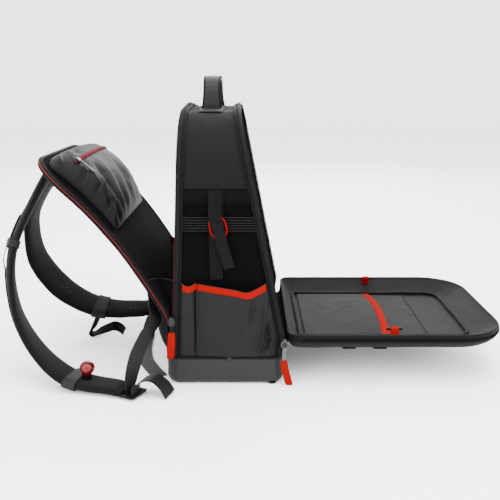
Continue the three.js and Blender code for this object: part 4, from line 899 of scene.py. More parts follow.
# zip half round three sides, from hinge to hinge
around = steadyLoop(lidLoop, [0.95], 700)[0]
hingeSide = around[:, 0] > lid["hingeX"] + lid["hingeCorner"] + 4
start = int(np.argmax(~hingeSide & np.roll(hingeSide, 1)))
zipLoop = np.roll(around, -start, axis=0)
zipLoop = zipLoop[zipLoop[:, 0] > lid["hingeX"] + lid["hingeCorner"] + 4]
zipOut = np.gradient(zipLoop, axis=0)
zipOut = np.column_stack([zipOut[:, 1], -zipOut[:, 0], np.zeros(len(zipOut))])
zipOut /= np.linalg.norm(zipOut, axis=1, keepdims=True)
zipLine = atHeight(zipLoop, 73.2) + zipOut * 0.9
lidZipRows = [[zipLine[k] + zipOut[k] * o + (0, 0, h) for o,
    h in ((-1.2, -1.6), (0.1, -1.6), (0.2, 0), (0.1, 1.6), (-1.2, 1.6))] for k in range(len(zipLine))]
onBag(loftObject("lidZip", lidZipRows, [finishes["binding"]], ends="fan", sharp=60), "black_plastic",
    "lid_zip")
onBag(repeatAlong("lidZipTeeth", [(zipLine + zipOut * 0.4, zipOut)], "Bar", (1.0, 3.2, 1.3), 1.55,
    finishes["blackCoil"], 0.04), "black_plastic")

pocketHalf = lid["half"] - lid["floorInset"] - lid["pipe"] - 3
pocketX0 = lid["hingeX"] + lid["floorInset"] * lid["hingeShare"] + lid["pipe"] + 4


def lidPocketGrid(reach, level, slack, seed, curve=0.0):
    grid = []
    for u in np.linspace(0, 1, 56):
        row = []
        for v in np.linspace(0, 1, 72):
            crown = slack * math.sin(math.pi * v) * eased(u)
            x = mixed(pocketX0, reach + curve * math.sin(math.pi * v), u)
            row.append((x, mixed(-pocketHalf, pocketHalf, v), level + crown))
        grid.append(row)
    grid = np.array(grid)
    u, v = np.meshgrid(np.linspace(0, 1, 56), np.linspace(0, 1, 72), indexing="ij")
    inner = np.sin(np.pi * np.clip(u * 0.5 + 0.02, 0, 1)) * np.sin(np.pi * np.clip(v, 0.01, 0.99))
    grid[..., 2] += 0.55 * (1 + grain(grid, 36, seed, 3)) * inner ** 0.5
    grid[..., 2] += fold(u, v, (0.1, 0.2), (0.75, 0.75), 0.05, 0.9) + fold(u, v, (0.15, 0.85), (0.5, 0.5),
        0.04, 0.7)
    return grid


lowerPocket = lidPocketGrid(lid["pocketEdge"], 60.6, 0.4, 11.0)
onBag(clothObject("lidPocketLower", lowerPocket, 1.3, [finishes["lining"]], inward=1), "cloth",
    "lid_pocket_lower")
upperPocket = lidPocketGrid(lid["hem"], 62.8, lid["hemRise"] - 1, 12.0, lid["hemBow"])
onBag(clothObject("lidPocketUpper", upperPocket, 1.3, [finishes["lining"]], inward=1), "cloth",
    "lid_pocket_upper")
hemGrid = []
for u in np.linspace(-1, 1, 9):
    row = []
    for v in np.linspace(0, 1, 80):
        crown = lid["hemRise"] * math.sin(math.pi * v)
        row.append((lid["hem"] + 6.6 + 6 * u + lid["hemBow"] * math.sin(math.pi * v),
            mixed(-pocketHalf, pocketHalf, v), 61.4 + crown + 2.0 * (1 - 0.35 * u * u)))
    hemGrid.append(row)
hemGrid = np.array(hemGrid)
hemGrid[..., 2] += 0.25 * grain(hemGrid, 20, 3.0)
onBag(clothObject("lidPocketBinding", hemGrid, 1.8, [finishes["redTape"]]), "red_cloth",
    "lid_pocket_binding")
hemLines = [(hemGrid[k] + (0, 0, 0.25), (0, 0, 1)) for k in (1, 7)]
onBag(repeatAlong("lidHemStitches", hemLines, "Thread", (2.2, 0.5, 0.45), 3.1, finishes["redThread"]),
    "red_cloth")
edgeTube = lowerPocket[-1] + (0.4, 0, 0.3)
edgeTube[:, 2] += 0.4 * grain(edgeTube, 22, 8.0)
onBag(tubeObject("lidPocketEdge", edgeTube, 1.0, [finishes["binding"]], squash=0.8), "binding")

# hinge gutter of cloth between the foot of the bag and the lid
hingeHalf = bag["bandHalf"] - bag["bandThickness"] - 6
hingeProfile = np.array([(83.6, 73), (83.8, 66), (84.6, 60), (87, 55.5), (91, 53.4), (95, 55.5), (97.4, 60),
    (98.2, 66), (98.5, 74.5)])
hingeGrid = np.array([[(x, y, z) for x, z in hingeProfile]
    for y in np.linspace(-hingeHalf, hingeHalf, 110)])
hingeGrid[..., 2] += 0.5 * grain(hingeGrid, 25, 2.0)
onBag(clothObject("lidHinge", hingeGrid, 1.3, [finishes["blackCloth"]], inward=-1), "dark_cloth",
    "lid_hinge")

# webbing across the outside of the lid
for number, centre in enumerate((99 + 97, 99 + 146), 1):
    ys = np.linspace(-149, 149, 90)
    under = np.interp(np.abs(ys), [149 - 45, 149 - 19, 149], [49, 51, 57.4])
    grid = np.array([[(x, y, z - 0.5) for x in np.linspace(centre - 9.5, centre + 9.5, 8)] for y,
        z in zip(ys, under)])
    grid[..., 2] -= 0.3 + 0.3 * grain(grid, 30, number)
    onBag(clothObject(f"lidWebbing{number}", grid, 2.6, [finishes["webbingBlack"]], inward=-1), "webbing",
        f"lid_webbing_{number}")


def buildToggle(name, side, node):
    x, y, z = 267, side * (lid["half"] - 21.9), 84.85
    turn = np.radians(np.linspace(0, 360, 14, endpoint=False))
    lengths = [(-13, 0.9), (-12.6, 1.8), (-11.4, 2.2), (-9, 2.3), (0, 2.3), (9, 2.3), (11.4, 2.2),
        (12.6, 1.8), (13, 0.9)]
    rows = [[(x + along, y + radius * math.cos(t), z + radius * math.sin(t)) for t in turn] for along,
        radius in lengths]
    onBag(loftObject(name + "Bar", rows, [finishes["plastic"]], ends="fan"), "black_plastic",
        f"lid_toggle_bar_{node}")
    foot = [(17.0, 72.4), (17.2, 75.0), (17.6, 79.0), (17.9, 82.0)]
    loop = [(18.3, 84.85), (19.1, 87.4), (21.9, 88.5), (24.5, 87.4), (25.5, 84.85), (24.5, 82.3),
        (21.9, 81.2), (20.6, 80.0)]
    path = [(lid["half"] - inwards, high) for inwards, high in foot + loop]
    grid = np.array([[(x + w, side * py, pz) for w in np.linspace(-6, 6, 7)] for py, pz in path])
    onBag(clothObject(name + "Tab", grid, 1.2, [finishes["redTape"]], inward=side), "red_cloth",
        f"lid_toggle_tab_{node}")


buildToggle("toggleNear", -1, "near")
buildToggle("toggleFar", 1, "far")
print("lid done")

# back panel
panel = {"length": 373, "half": 163, "corner": 70, "inner": 4, "outer": 6, "start": 47.6,
    "foot": -81 - 0.35 - 4}
panelLean = [(0, 88), (0.12, 88), (0.2, 61), (0.45, 56), (0.7, 47), (1, 35)]


def panelCurve():
    points, normals = [], []
    x, z = panel["foot"], panel["start"]
    steps = 180
    for k in range(steps + 1):
        lean = math.radians(readTable(panelLean, k / steps))
        points.append((x, z))
        normals.append((math.sin(lean), math.cos(lean)))
        x -= panel["length"] / steps * math.cos(lean)
        z += panel["length"] / steps * math.sin(lean)
    return np.array(points), np.array(normals)


panelPoints, panelNormals = panelCurve()
panelShares = np.linspace(0, 1, len(panelPoints))


def onPanel(share, y, out):
    at = [np.interp(share, panelShares, panelPoints[:, k]) for k in (0, 1)]
    n = [np.interp(share, panelShares, panelNormals[:, k]) for k in (0, 1)]
    past = (max(0.0, share - 1) + min(0.0, share)) * panel["length"]
    lean = math.radians(panelLean[-1 if share > 0 else 0][1])
    return (at[0] + n[0] * out - past * math.cos(lean), y, at[1] + n[1] * out + past * math.sin(lean))


def panelHalf(share, inset=0.0):
    fromTop = (1 - share) * panel["length"] - inset
    radius, half = panel["corner"] - inset, panel["half"] - inset
    if fromTop >= radius:
        return half
    drop = radius - max(0.0, fromTop)
    return half - radius + math.sqrt(max(0.0, radius * radius - drop * drop))


panelRows = np.concatenate([np.linspace(0, 0.8, 60),
    1 - (panel["corner"] / panel["length"]) * (1 - np.sin(np.linspace(0.05, 0.5, 24) * np.pi))])


def buildPanel():
    across = np.sin(np.linspace(-0.5, 0.5, 41) * np.pi)
    sections = []
    for share in panelRows:
        half = panelHalf(share)
        low, high = [], []
        for part in across:
            y = part * half
            edge = (1 - abs(part)) * half
            round_ = min(1.0, math.sqrt(max(0.0, 1 - (1 - min(edge, 6) / 6) ** 2)))
            top = min(1.0, (1 - share) * panel["length"] / 6 + 0.25)
            here = onPanel(share, y, 0)
            soft = 0.9 * float(grain([here], 70, 4.0)[0])
            low.append(onPanel(share, y, -2 - (panel["outer"] - 2) * round_ * top))
            high.append(onPanel(share, y, 1.2 + (panel["inner"] - 1.2 + min(0.0, soft)) * round_ * top))
        sections.append(low + high[::-1])
    # the panel's cloth colour holds painted shade: darkened for the bag's shadow falling on the inner face
    return loftObject("backPanel", sections, [finishes["panelClothWithPaintedShade"]], sharp=70)


onBag(buildPanel(), "cloth", "back_panel")


def panelOutline(inset, level, low=0.0, step=260):
    # up the near edge, round the top and down the far edge
    radius = panel["corner"] - inset
    half = panel["half"] - inset
    legLength = panel["length"] - panel["corner"]
    near = [(s, -half) for s in np.linspace(low * panel["length"], legLength, step // 3)]
    turns = np.radians(np.linspace(180, 90, step // 8))
    near += [(legLength + radius * math.sin(t), -half + radius + radius * math.cos(t)) for t in turns[1:]]
    near += [(legLength + radius, y) for y in np.linspace(-half + radius, 0, step // 12)[1:]]
    both = near + [(s, -y) for s, y in reversed(near[:-1])]
    points = np.array([onPanel(s / panel["length"], y, level) for s, y in both])
    centre = np.array([onPanel(min(s, legLength) / panel["length"],
        math.copysign(min(abs(y), half - radius), y), level) for s, y in both])
    out = points - centre
    out /= np.maximum(np.linalg.norm(out, axis=1, keepdims=True), 1e-6)
    return points, out


zipStart = (bag["zipBack"] - panel["start"]) / panel["length"]
for label, inset, level, radius in (("Inner", 1.6, 3.4, 2.0), ("Outer", 1.2, -2.6, 2.6)):
    line, _ = panelOutline(inset, level, 0.01)
    line = line + np.column_stack([grain(line, 30, 5.0), grain(line, 30, 8.0), grain(line, 30, 2.0)]) * 0.3
    onBag(tubeObject("panelPiping" + label, line, radius, [finishes["binding"]], up=(0.6, 0, 0.8)),
        "binding")
zipPoints, zipAway = panelOutline(-0.35, 1.0, zipStart)
tapeRows = [[zipPoints[k] + zipAway[k] * o + np.array(onPanel(0.5, 0, h)) - np.array(onPanel(0.5, 0, 0))
    for o, h in ((0, -1.9), (1.6, -1.5), (2.0, 0), (1.6, 1.6), (0, 2.0))] for k in range(len(zipPoints))]
onBag(loftObject("zipBackPanel", tapeRows, [finishes["binding"]], ends="fan", sharp=60), "red_coil",
    "zip_back_panel")
onBag(repeatAlong("zipBackPanelTeeth", [(zipPoints + zipAway * 1.9, zipAway)], "Bar", (1.0, 2.3, 1.3), 1.55,
    finishes["redCoil"], 0.04), "red_coil")

# bellows pocket on the panel, of thin crumpled cloth
bellows = {
    "low": 0.575, "high": 0.972, "half": 130, "edge": 13, "lowBulge": 30, "highBulge": 43,
    "zipAt": 0.865, "zipWidth": 8, "cloth": 1.4, "crumple": 4.6, "calm": 0.62,
}


# creases across the near wall: where each leaves the ridge, where it meets the seam, its width and height
wallFolds = [(0.97, 0.82, 0.016, 5), (0.84, 0.76, 0.012, -3), (0.80, 0.60, 0.016, 5),
    (0.66, 0.56, 0.010, -3), (0.62, 0.42, 0.015, 5)]
wallFolds += [(0.50, 0.38, 0.010, -3), (0.46, 0.24, 0.014, 5), (0.30, 0.20, 0.010, -3),
    (0.26, 0.08, 0.014, 4)]


def bellowsHalf(share):
    return min(bellows["half"], panelHalf(share, bellows["edge"]))


def bellowsLift(share, part):
    climb = np.clip((share - bellows["low"]) / (bellows["high"] - bellows["low"]), 0, 1)
    rise = np.sin(np.pi * climb) ** 0.5
    side = max(0.0, 1 - abs(part) ** 5) ** 0.62
    return panel["inner"] + 0.35 + mixed(bellows["lowBulge"], bellows["highBulge"],
        eased(climb)) * rise * side


def buildBellows():
    steps = 0.5 - 0.5 * np.cos(np.linspace(0, np.pi, 110))
    shares = mixed(bellows["low"], bellows["high"], steps)
    parts = np.sin(np.linspace(-0.5, 0.5, 140) * np.pi)
    u, v = np.meshgrid(steps, (parts + 1) / 2, indexing="ij")
    grid = np.array([[onPanel(s, q * bellowsHalf(s), bellowsLift(s, q) + bellows["cloth"]) for q in parts]
        for s in shares])
    crumple = fold(u, v, (0.78, 0.10), (0.03, 0.03), 0.035, 7.0) + fold(u, v, (0.55, 0.13), (0.02, 0.12),
        0.03, 6.0)
    crumple += fold(u, v, (0.65, 0.32), (0.04, 0.20), 0.05, 6.0) + fold(u, v, (0.45, 0.48), (0.05, 0.36),
        0.045, 5.0)
    crumple -= fold(u, v, (0.62, 0.21), (0.06, 0.08), 0.035, 7.0) + fold(u, v, (0.5, 0.40), (0.08, 0.27),
        0.04, 5.0)
    crumple += fold(u, v, (0.55, 0.75), (0.1, 0.60), 0.06, 4.0) - fold(u, v, (0.6, 0.62), (0.1, 0.5), 0.05,
        4.0)
    crumple += fold(u, v, (0.97, 0.25), (0.80, 0.14), 0.035, 5.0) - fold(u, v, (0.93, 0.42), (0.84, 0.24),
        0.03, 4.0)
    for high, foot, width, height in wallFolds:
        crumple += fold(u, v, (high, 0.125), (foot, 0.0), width, height)
    crumple *= bellows["calm"]
    crumple += 1.6 * grain(grid, 44, 6.0, 2) + 0.5 * grain(grid, 16, 1.0, 2)
    hold = np.minimum(1, np.minimum(u, 1 - u) * 12) * np.minimum(1, np.minimum(v, 1 - v) * 22 + 0.08)
    zipFlat = 1 - 0.85 * np.exp(-(((mixed(bellows["low"], bellows["high"],
        u) - bellows["zipAt"] - 0.01) / 0.02) ** 2))
    facing = gridNormals(grid)
    facing *= np.sign(facing[55, 70, 2])
    return grid + facing * (np.clip(crumple, -bellows["crumple"], bellows["crumple"]) * hold * zipFlat)[...,
        None]


bellowsGrid = buildBellows()
bellowsSide = 1 if gridNormals(bellowsGrid)[55, 70, 2] > 0 else -1
onBag(clothObject("backPocket", bellowsGrid, bellows["cloth"], [finishes["pocketCloth"]],
    inward=bellowsSide), "cloth", "back_pocket")


def onBellows(share, y, out):
    return onPanel(share, y, bellowsLift(share, y / bellowsHalf(share)) + bellows["cloth"] + out)


zipReach = bellows["half"] - 22
zipMiddle = bellows["zipAt"] + bellows["zipWidth"] / panel["length"] / 2
zipYs = np.linspace(-zipReach, zipReach, 90)
tape = np.array([[onBellows(zipMiddle + w / panel["length"], y, 0.9 + 0.5 * math.cos(w / 4 * 1.5))
    for w in np.linspace(-4, 4, 9)] for y in zipYs])
tapeSide = 1 if gridNormals(tape)[40, 4, 2] > 0 else -1
onBag(clothObject("pocketZip", tape, 1.2, [finishes["binding"]], inward=tapeSide), "red_coil", "pocket_zip")
for label, shift in (("A", -1.9), ("B", 0), ("C", 1.9)):
    line = np.array([onBellows(zipMiddle + shift / panel["length"], y, 1.8) for y in zipYs])
    if label == "B":
        onBag(repeatAlong("pocketZipTeeth", [(line, (0.68, 0, 0.73))], "Bar", (1.0, 3.0, 1.4), 1.5,
            finishes["redCoil"], 0.04), "red_coil")
    else:
        onBag(tubeObject("pocketZipCord" + label, line, 0.6, [finishes["redTape"]], up=(0.6, 0, 0.8)),
            "red_coil")


def sheetPiece(name, centre, along, up, outline, thickness, material, slotName, bend=0.0):
    # a small shaped plate: outline rows of (distance along, half width), rounded at its edges
    a = np.array(along, float) / np.linalg.norm(along)
    side = np.cross(up, a)
    side /= np.linalg.norm(side)
    top = np.cross(a, side)
    sections = []
    for distance, half in outline:
        row = []
        for t in np.radians(np.linspace(0, 360, 20, endpoint=False)):
            c, n = math.cos(t), math.sin(t)
            row.append(np.array(centre) + a * distance + side * half * math.copysign(abs(c) ** 0.6,
                c) + top * (thickness / 2 * math.copysign(abs(n) ** 0.6, n) + bend * distance * distance))
        sections.append(row)
    return onBag(loftObject(name, sections, [material], ends="fan", sharp=55), slotName)


pullerTop = np.array(onBellows(zipMiddle, -zipReach + 4, 4.2))
sheetPiece("pocketSlider", pullerTop, (0, 1, 0), (0.68, 0, 0.73),
    [(-6, 2.4), (-5.4, 3.6), (-2, 4.4), (2, 4.2), (5, 3.4), (6, 2.4)], 3.6, finishes["darkMetal"],
    "slider_metal")
pullerEnd = np.array(onBellows(zipMiddle - 0.085, -zipReach + 1, 4.5))
sheetPiece("pocketPuller", pullerTop + (0, -1, 1.5), pullerEnd - pullerTop, (0.5, -0.3, 0.8),
    [(1, 1.2), (2, 2.4), (8, 2.6), (10, 1.8), (12, 2.8), (24, 3.6), (30, 3.4), (31, 2.4)], 1.6,
    finishes["darkMetal"], "slider_metal")


# folded cloth that joins the foot of the panel to the bag on each side
gusset = {"top": 166, "sag": 20, "thickness": 1.4}


def buildGusset(name, side):
    reach = np.interp(gusset["top"], panelPoints[:, 1], panelShares)
    rows = []
    for u in np.linspace(0.02, 1, 40):
        z = mixed(bag["zipBack"] + 2, gusset["top"], u)
        share = mixed(zipStart + 0.01, reach, u)
        start = np.array(onPanel(share, side * (panel["half"] - 4), 4.5))
        finish = np.array((backX(z) - 0.6, side * (bag["bandHalf"] - 8), z))
        row = []
        for v in np.linspace(0, 1, 40):
            at = mixed(start, finish, v)
            at[1] -= side * (gusset["sag"] * u * math.sin(math.pi * v) ** 0.8 + 3 * u
                * math.sin(2 * math.pi * v))
            at[2] -= 2.5 * u * math.sin(math.pi * v)
            row.append(at)
        rows.append(row)
    grid = np.array(rows)
    grid[..., 1] += 1.2 * grain(grid, 26, 4.0) * np.sin(np.pi * np.linspace(0, 1, 40))[None, :]
    onBag(clothObject(name, grid, gusset["thickness"], [finishes["blackCloth"]]), "dark_cloth")
    onBag(tubeObject(name + "Hem", grid[-1], 1.0, [finishes["greyPatch"]], up=(0.2, 0.3, 0.9)), "binding")


buildGusset("gussetNear", -1)
buildGusset("gussetFar", 1)


def puffed(obj, cap, towards, pressure=4.0, voxel=5.0):
    # swells a pad like stuffed cloth; no point moves further than cap, or past its seat on the panel
    remesh = obj.modifiers.new("remesh", "REMESH")
    remesh.mode, remesh.voxel_size = "VOXEL", voxel * mm
    bpy.context.view_layer.update()
    skin = bpy.data.meshes.new_from_object(obj.evaluated_get(bpy.context.evaluated_depsgraph_get()))
    obj.modifiers.clear()
    obj.data = skin
    before = np.zeros(len(skin.vertices) * 3, np.float32)
    skin.vertices.foreach_get("co", before)
    before = before.reshape(-1, 3)
    after = before.copy()
    cloth = obj.modifiers.new("cloth", "CLOTH")
    cloth.settings.use_pressure = True
    cloth.settings.uniform_pressure_force = pressure
    cloth.settings.effector_weights.gravity = 0
    for frameNumber in range(1, 21):
        scene.frame_set(frameNumber)
    swollen = obj.evaluated_get(bpy.context.evaluated_depsgraph_get()).data
    flat = np.zeros(len(before) * 3, np.float32)
    swollen.vertices.foreach_get("co", flat)
    after = flat.reshape(-1, 3)
    obj.modifiers.clear()
    scene.frame_set(1)
    move = after - before
    far = np.linalg.norm(move, axis=1, keepdims=True)
    after = before + move * np.minimum(1, cap * mm / np.maximum(far, 1e-9))
    after = towards(before / mm, after / mm) * mm
    skin.vertices.foreach_set("co", after.astype(np.float32).ravel())
    even = obj.modifiers.new("even", "SMOOTH")
    even.factor, even.iterations = 0.5, 4
    smooth = obj.modifiers.new("smooth", "SUBSURF")
    smooth.levels = smooth.render_levels = 1
    bpy.context.view_layer.update()
    finished = bpy.data.meshes.new_from_object(obj.evaluated_get(bpy.context.evaluated_depsgraph_get()))
    obj.modifiers.clear()
    obj.data = finished
    finished.shade_smooth()


def behindPanel(before, points):
    # keeps a pad's points off the panel's outer face, and its edges at their seams
    seat = -panel["outer"] - 0.35
    near = np.argmin((points[:, None, 0] - panelPoints[None, :, 0]) ** 2
        + (points[:, None, 2] - panelPoints[None, :, 1]) ** 2, axis=1)
    normal = panelNormals[near]
    move = points - before
    swell = move[:, 0] * normal[:, 0] + move[:, 2] * normal[:, 1]
    away = np.column_stack([normal[:, 0], np.zeros(len(normal)), normal[:, 1]])
    points = before + away * swell[:, None] + (move - away * swell[:, None]) * 0.2
    out = (points[:, 0] - panelPoints[near, 0]) * normal[:,
        0] + (points[:, 2] - panelPoints[near, 1]) * normal[:, 1]
    extra = np.maximum(0, out - seat)
    points[:, 0] -= extra * normal[:, 0]
    points[:, 2] = np.maximum(points[:, 2] - extra * normal[:, 1], 1.0)
    return points


def padUv(obj):
    # lays the mesh pattern over a pad: across it, and up along the panel
    mesh = obj.data
    co = np.zeros(len(mesh.vertices) * 3, np.float32)
    mesh.vertices.foreach_get("co", co)
    co = co.reshape(-1, 3)
    at = np.zeros(len(mesh.loops), np.int32)
    mesh.loops.foreach_get("vertex_index", at)
    climb = (co[:, 2] * 0.84 - co[:, 0] * 0.54)
    uv = np.column_stack([co[at, 1], climb[at]]).astype(np.float32)
    layer = mesh.uv_layers.new(name="cloth") if not mesh.uv_layers else mesh.uv_layers[0]
    layer.data.foreach_set("uv", uv.ravel())


def buildOuterPad(name, low, high, half, thickness, node):
    shares = np.linspace(low, high, 60)
    seat = -panel["outer"] - 0.35
    sections = []
    for share in shares:
        part = (share - low) / (high - low)
        end = math.sin(math.pi * mixed(0.06, 0.94, part)) ** 0.4
        ys = half * np.sin(np.linspace(-0.5, 0.5, 44) * np.pi)
        rise = [np.interp(abs(y) / half, [0, 0.12, 0.3, 0.9, 1], [0.72, 0.82, 1, 0.86, 0.3]) for y in ys]
        inner = [onPanel(share, y, seat) for y in ys]
        outer = [onPanel(share, y, seat - thickness * r * end) for y, r in zip(ys, rise)]
        sections.append(inner + outer[::-1])
    obj = loftObject(name, sections, [finishes["airMesh"]], sharp=70)
    puffed(obj, 5.0, behindPanel)
    padUv(obj)
    onBag(obj, "mesh_cloth", node)
    rim = [onPanel(low, y, seat - 3) for y in np.linspace(-half, half, 40)]
    rim += [onPanel(share, half, seat - 3) for share in shares[1:]]
    rim += [onPanel(high, y, seat - 3) for y in np.linspace(half, -half, 40)[1:]]
    rim += [onPanel(share, -half, seat - 3) for share in shares[::-1][1:-1]]
    onBag(tubeObject(name + "Edge", rim, 2.4, [finishes["binding"]], closed=True, up=(0.62, 0.05, 0.78)),
        "binding")


buildOuterPad("backPad", 0.27, 0.89, 105, 11, "back_pad")
buildOuterPad("lumbarPad", -0.045, 0.235, 101, 22, "lumbar_pad")
print("back panel done")

# carrying handle
handle = {"x": -21, "width": 31, "span": 124, "top": 473, "thickness": 8, "patch": 1.4, "taper": 0.8}


def handleLine():
    foot = bag["bandTop"] + 2 * bag["gap"] + handle["patch"] + topRise(handle["span"] / 2)
    crest = handle["top"] - handle["thickness"] / 2
    half = handle["span"] / 2
    leg = [(half, foot, 0.55), (half - 0.3, foot + 4, 0.68), (half - 1, foot + 8, 0.8),
        (half - 2.5, mixed(foot, crest, 0.38), 0.92), (half - 4, mixed(foot, crest, 0.55), 1)]
    leg += [(half - 7.4, mixed(foot, crest, 0.71), 1), (half - 12, mixed(foot, crest, 0.83), 1),
        (half - 18, crest - 4, 1), (half - 25, crest - 1.2, 1), (half - 40, crest - 0.3, 1)]
    rows = [(-y, z, t) for y, z, t in leg] + [(0, crest, 1)] + leg[::-1]
    rows = np.array(rows)
    fine = np.linspace(0, len(rows) - 1, 90)
    return np.column_stack([np.interp(fine, np.arange(len(rows)), rows[:, k]) for k in range(3)])


def buildHandle():
    rows = handleLine()
    half = handle["thickness"] / 2
    sections, edges = [], [[], []]
    for k, (y, z, share) in enumerate(rows):
        before, after = rows[max(0, k - 2)], rows[min(len(rows) - 1, k + 2)]
        along = np.array([after[0] - before[0], after[1] - before[1]])
        along /= np.linalg.norm(along)
        if k < 2 or k > len(rows) - 3:
            along = np.array([0, 1.0 if k < 2 else -1.0])
        n = np.array([-along[1], along[0]]) * half * share
        wide = handle["width"] / 2 * mixed(1, handle["taper"], (share - 0.55) / 0.45)
        row = []
        for t in np.radians(np.linspace(0, 360, 28, endpoint=False)):
            c, s = math.cos(t), math.sin(t)
            across = math.copysign(abs(c) ** 0.5, c)
            up = math.copysign(abs(s) ** 0.75, s)
            row.append((handle["x"] + wide * across, y + n[0] * up, z + n[1] * up))
        sections.append(row)
        for side, line in zip((-1, 1), edges):
            line.append((handle["x"] + side * (wide - 0.6), y + n[0] * 0.55, z + n[1] * 0.55))
    obj = loftObject("topHandle", sections, [finishes["webbing"]], ends="fan", sharp=70)
    onBag(obj, "webbing", "top_handle")
    for label, line in zip("BA", edges):
        onBag(tubeObject("handleEdge" + label, line, 1.5, [finishes["binding"]], up=(1, 0, 0)), "binding")


buildHandle()


def buildPatch(name, side, node):
    corner, half, top = bag["bandCorner"], bag["bandHalf"], bag["bandTop"]
    wide = handle["width"] / 2 + 2
    rows = []
    line = [(-half + corner + corner * math.cos(t), top - corner + corner * math.sin(t), math.cos(t),
        math.sin(t)) for t in np.radians(np.linspace(103, 90, 8))]
    line += [(y, top + topRise(y), 0, 1) for y in np.linspace(-84 + 2, -50, 14)]
    for y, z, ny, nz in line:
        out = bag["gap"] + handle["patch"]
        rows.append([(handle["x"] + w, -side * (y + ny * out), z + nz * out)
            for w in np.linspace(-wide, wide, 14)])
    grid = np.array(rows)
    up = gridNormals(grid)[4, 6, 2] > 0
    obj = clothObject(name, grid, handle["patch"], [finishes["greyPatch"]], inward=1 if up else -1)
    return onBag(obj, "webbing", node)


buildPatch("handlePatchNear", -1, "handle_patch_near")
buildPatch("handlePatchFar", 1, "handle_patch_far")
print("handle done")

# sides
sidesLook = {"pocketTop": 166, "bulge": 13, "pleat": 0.165, "elasticLow": 286, "elasticHeight": 23,
    "tapeLow": 245, "tapeHeight": 24, "bindingHeight": 9.6}


def onSide(side, u, z, out):
    x0 = backX(z) + bag["rimWidth"] + bag["gap"]
    x1 = frontX(z) - bag["rimWidth"] - bag["gap"]
    return (mixed(x0, x1, u), side * (bag["bandHalf"] + bag["gap"] + out), z)


mouthDip = [(0, 0), (0.18, 0.14), (0.4, 0.4), (0.56, 0.66), (0.65, 0.93), (0.7, 1), (0.76, 0.93),
    (0.86, 0.55), (1, 0)]


def pocketMouth(u):
    pleat, top = sidesLook["pleat"], sidesLook["pocketTop"]
    if u < pleat:
        return top - 4 * math.sin(math.pi * u / pleat)
    part = (u - pleat) / (1 - pleat)
    return top - 12 * readTable(mouthDip, part)


def pocketStand(u, v):
    pleat = sidesLook["pleat"]
    own = u / pleat if u < pleat else (u - pleat) / (1 - pleat)
    high = 0.45 if u < pleat else 1.0
    seam = 0.18 if 0 < u < 1 else 0.0
    bow = max(seam, high * max(0.0, math.sin(math.pi * own)) ** 0.5)
    return sidesLook["bulge"] * bow * mixed(0.3, 1, v ** 0.6)


def pocketPoint(side, u, v, out):
    top = pocketMouth(u)
    seam = top - sidesLook["bindingHeight"]
    foot = bandFoot + 0.4
    z = mixed(foot, seam, v) if v <= 1 else mixed(seam, top, v - 1)
    return onSide(side, u, z, pocketStand(u, min(1.0, v)) + out)


def buildSidePocket(name, side, nodeName):
    us = np.concatenate([np.linspace(0, 0.15, 26), np.linspace(0.152, 0.21, 24), np.linspace(0.218, 1, 90)])
    vs = np.concatenate([np.linspace(0, 1, 60), np.linspace(1.1, 2, 10)])
    u, v = np.meshgrid(us, vs, indexing="ij")
    grid = np.array([[pocketPoint(side, a, b, 2.0) for b in vs] for a in us])
    soft = fold(u, v, (0.95, 0.85), (0.79, 0.0), 0.02, 8.0) - fold(u, v, (0.90, 0.55), (0.86, 0.0), 0.024,
        8.0)
    soft += fold(u, v, (0.97, 0.6), (0.93, 0.0), 0.018, 6.5) + fold(u, v, (0.72, 0.95), (0.70, 0.2), 0.05,
        3.0)
    soft -= fold(u, v, (0.62, 0.9), (0.55, 0.1), 0.06, 2.0) + fold(u, v, (0.84, 1.0), (0.72, 0.45), 0.035,
        4.4)
    soft += fold(u, v, (0.3, 0.1), (0.35, 0.9), 0.07, 1.0) + 0.8 * grain(grid, 45, 3.0, 2)
    soft += 3.4 * np.exp(-(((u - 0.186) / 0.012) ** 2)) - 3.0 * np.exp(-(((u - 0.163) / 0.008) ** 2))
    soft *= np.minimum(1, np.minimum(u, 1 - u) * 25) * np.minimum(1, v * 6 + 0.15)
    grid[..., 1] += side * np.clip(soft, -4, 7)
    outward = gridNormals(grid)[80, 30, 1] * side > 0
    onBag(clothObject(name, grid, 1.8, [finishes["sidePocket"]], inward=1 if outward else -1), "cloth",
        f"side_pocket_{nodeName}")
    hemUs = np.linspace(0.012, 0.988, 120)
    hem = np.array([[pocketPoint(side, a, b, 4.0 + 0.35 * math.sin(math.pi * (b - 1)))
        for b in np.linspace(1.02, 1.98, 8)] for a in hemUs])
    hem[..., 1] += side * 0.25 * grain(hem, 18, 2.0)
    outward = gridNormals(hem)[60, 4, 1] * side > 0
    onBag(clothObject(name + "Binding", hem, 1.4, [finishes["redTape"]], inward=1 if outward else -1),
        "red_cloth", f"side_pocket_binding_{nodeName}")
    lines = [(hem[:, k] + (0, side * 0.2, 0), (0, side, 0)) for k in (1, 6)]
    onBag(repeatAlong(name + "BindingStitches", lines, "Thread", (2.2, 0.5, 0.45), 3.1,
        finishes["redThread"]), "red_cloth")


def buildElastic(name, side, nodeName):
    low, height = sidesLook["elasticLow"], sidesLook["elasticHeight"]
    grid = np.array([[onSide(side, a, low + height * b, 2.0) for b in np.linspace(0, 1, 12)]
        for a in np.linspace(0, 1, 60)])
    outward = gridNormals(grid)[30, 6, 1] * side > 0
    onBag(clothObject(name, grid, 1.8, [finishes["blackCloth"]], inward=1 if outward else -1), "dark_cloth",
        f"side_elastic_{nodeName}")
    middle = np.array([onSide(side, a, low + height / 2, 1.9) for a in np.linspace(0.012, 0.988, 40)])
    onBag(repeatAlong(name + "Ribs", [(middle, (0, side, 0))], "Bar", (1.5, height - 1.5, 1.1), 2.3,
        finishes["blackCoil"], 0.12), "dark_cloth")


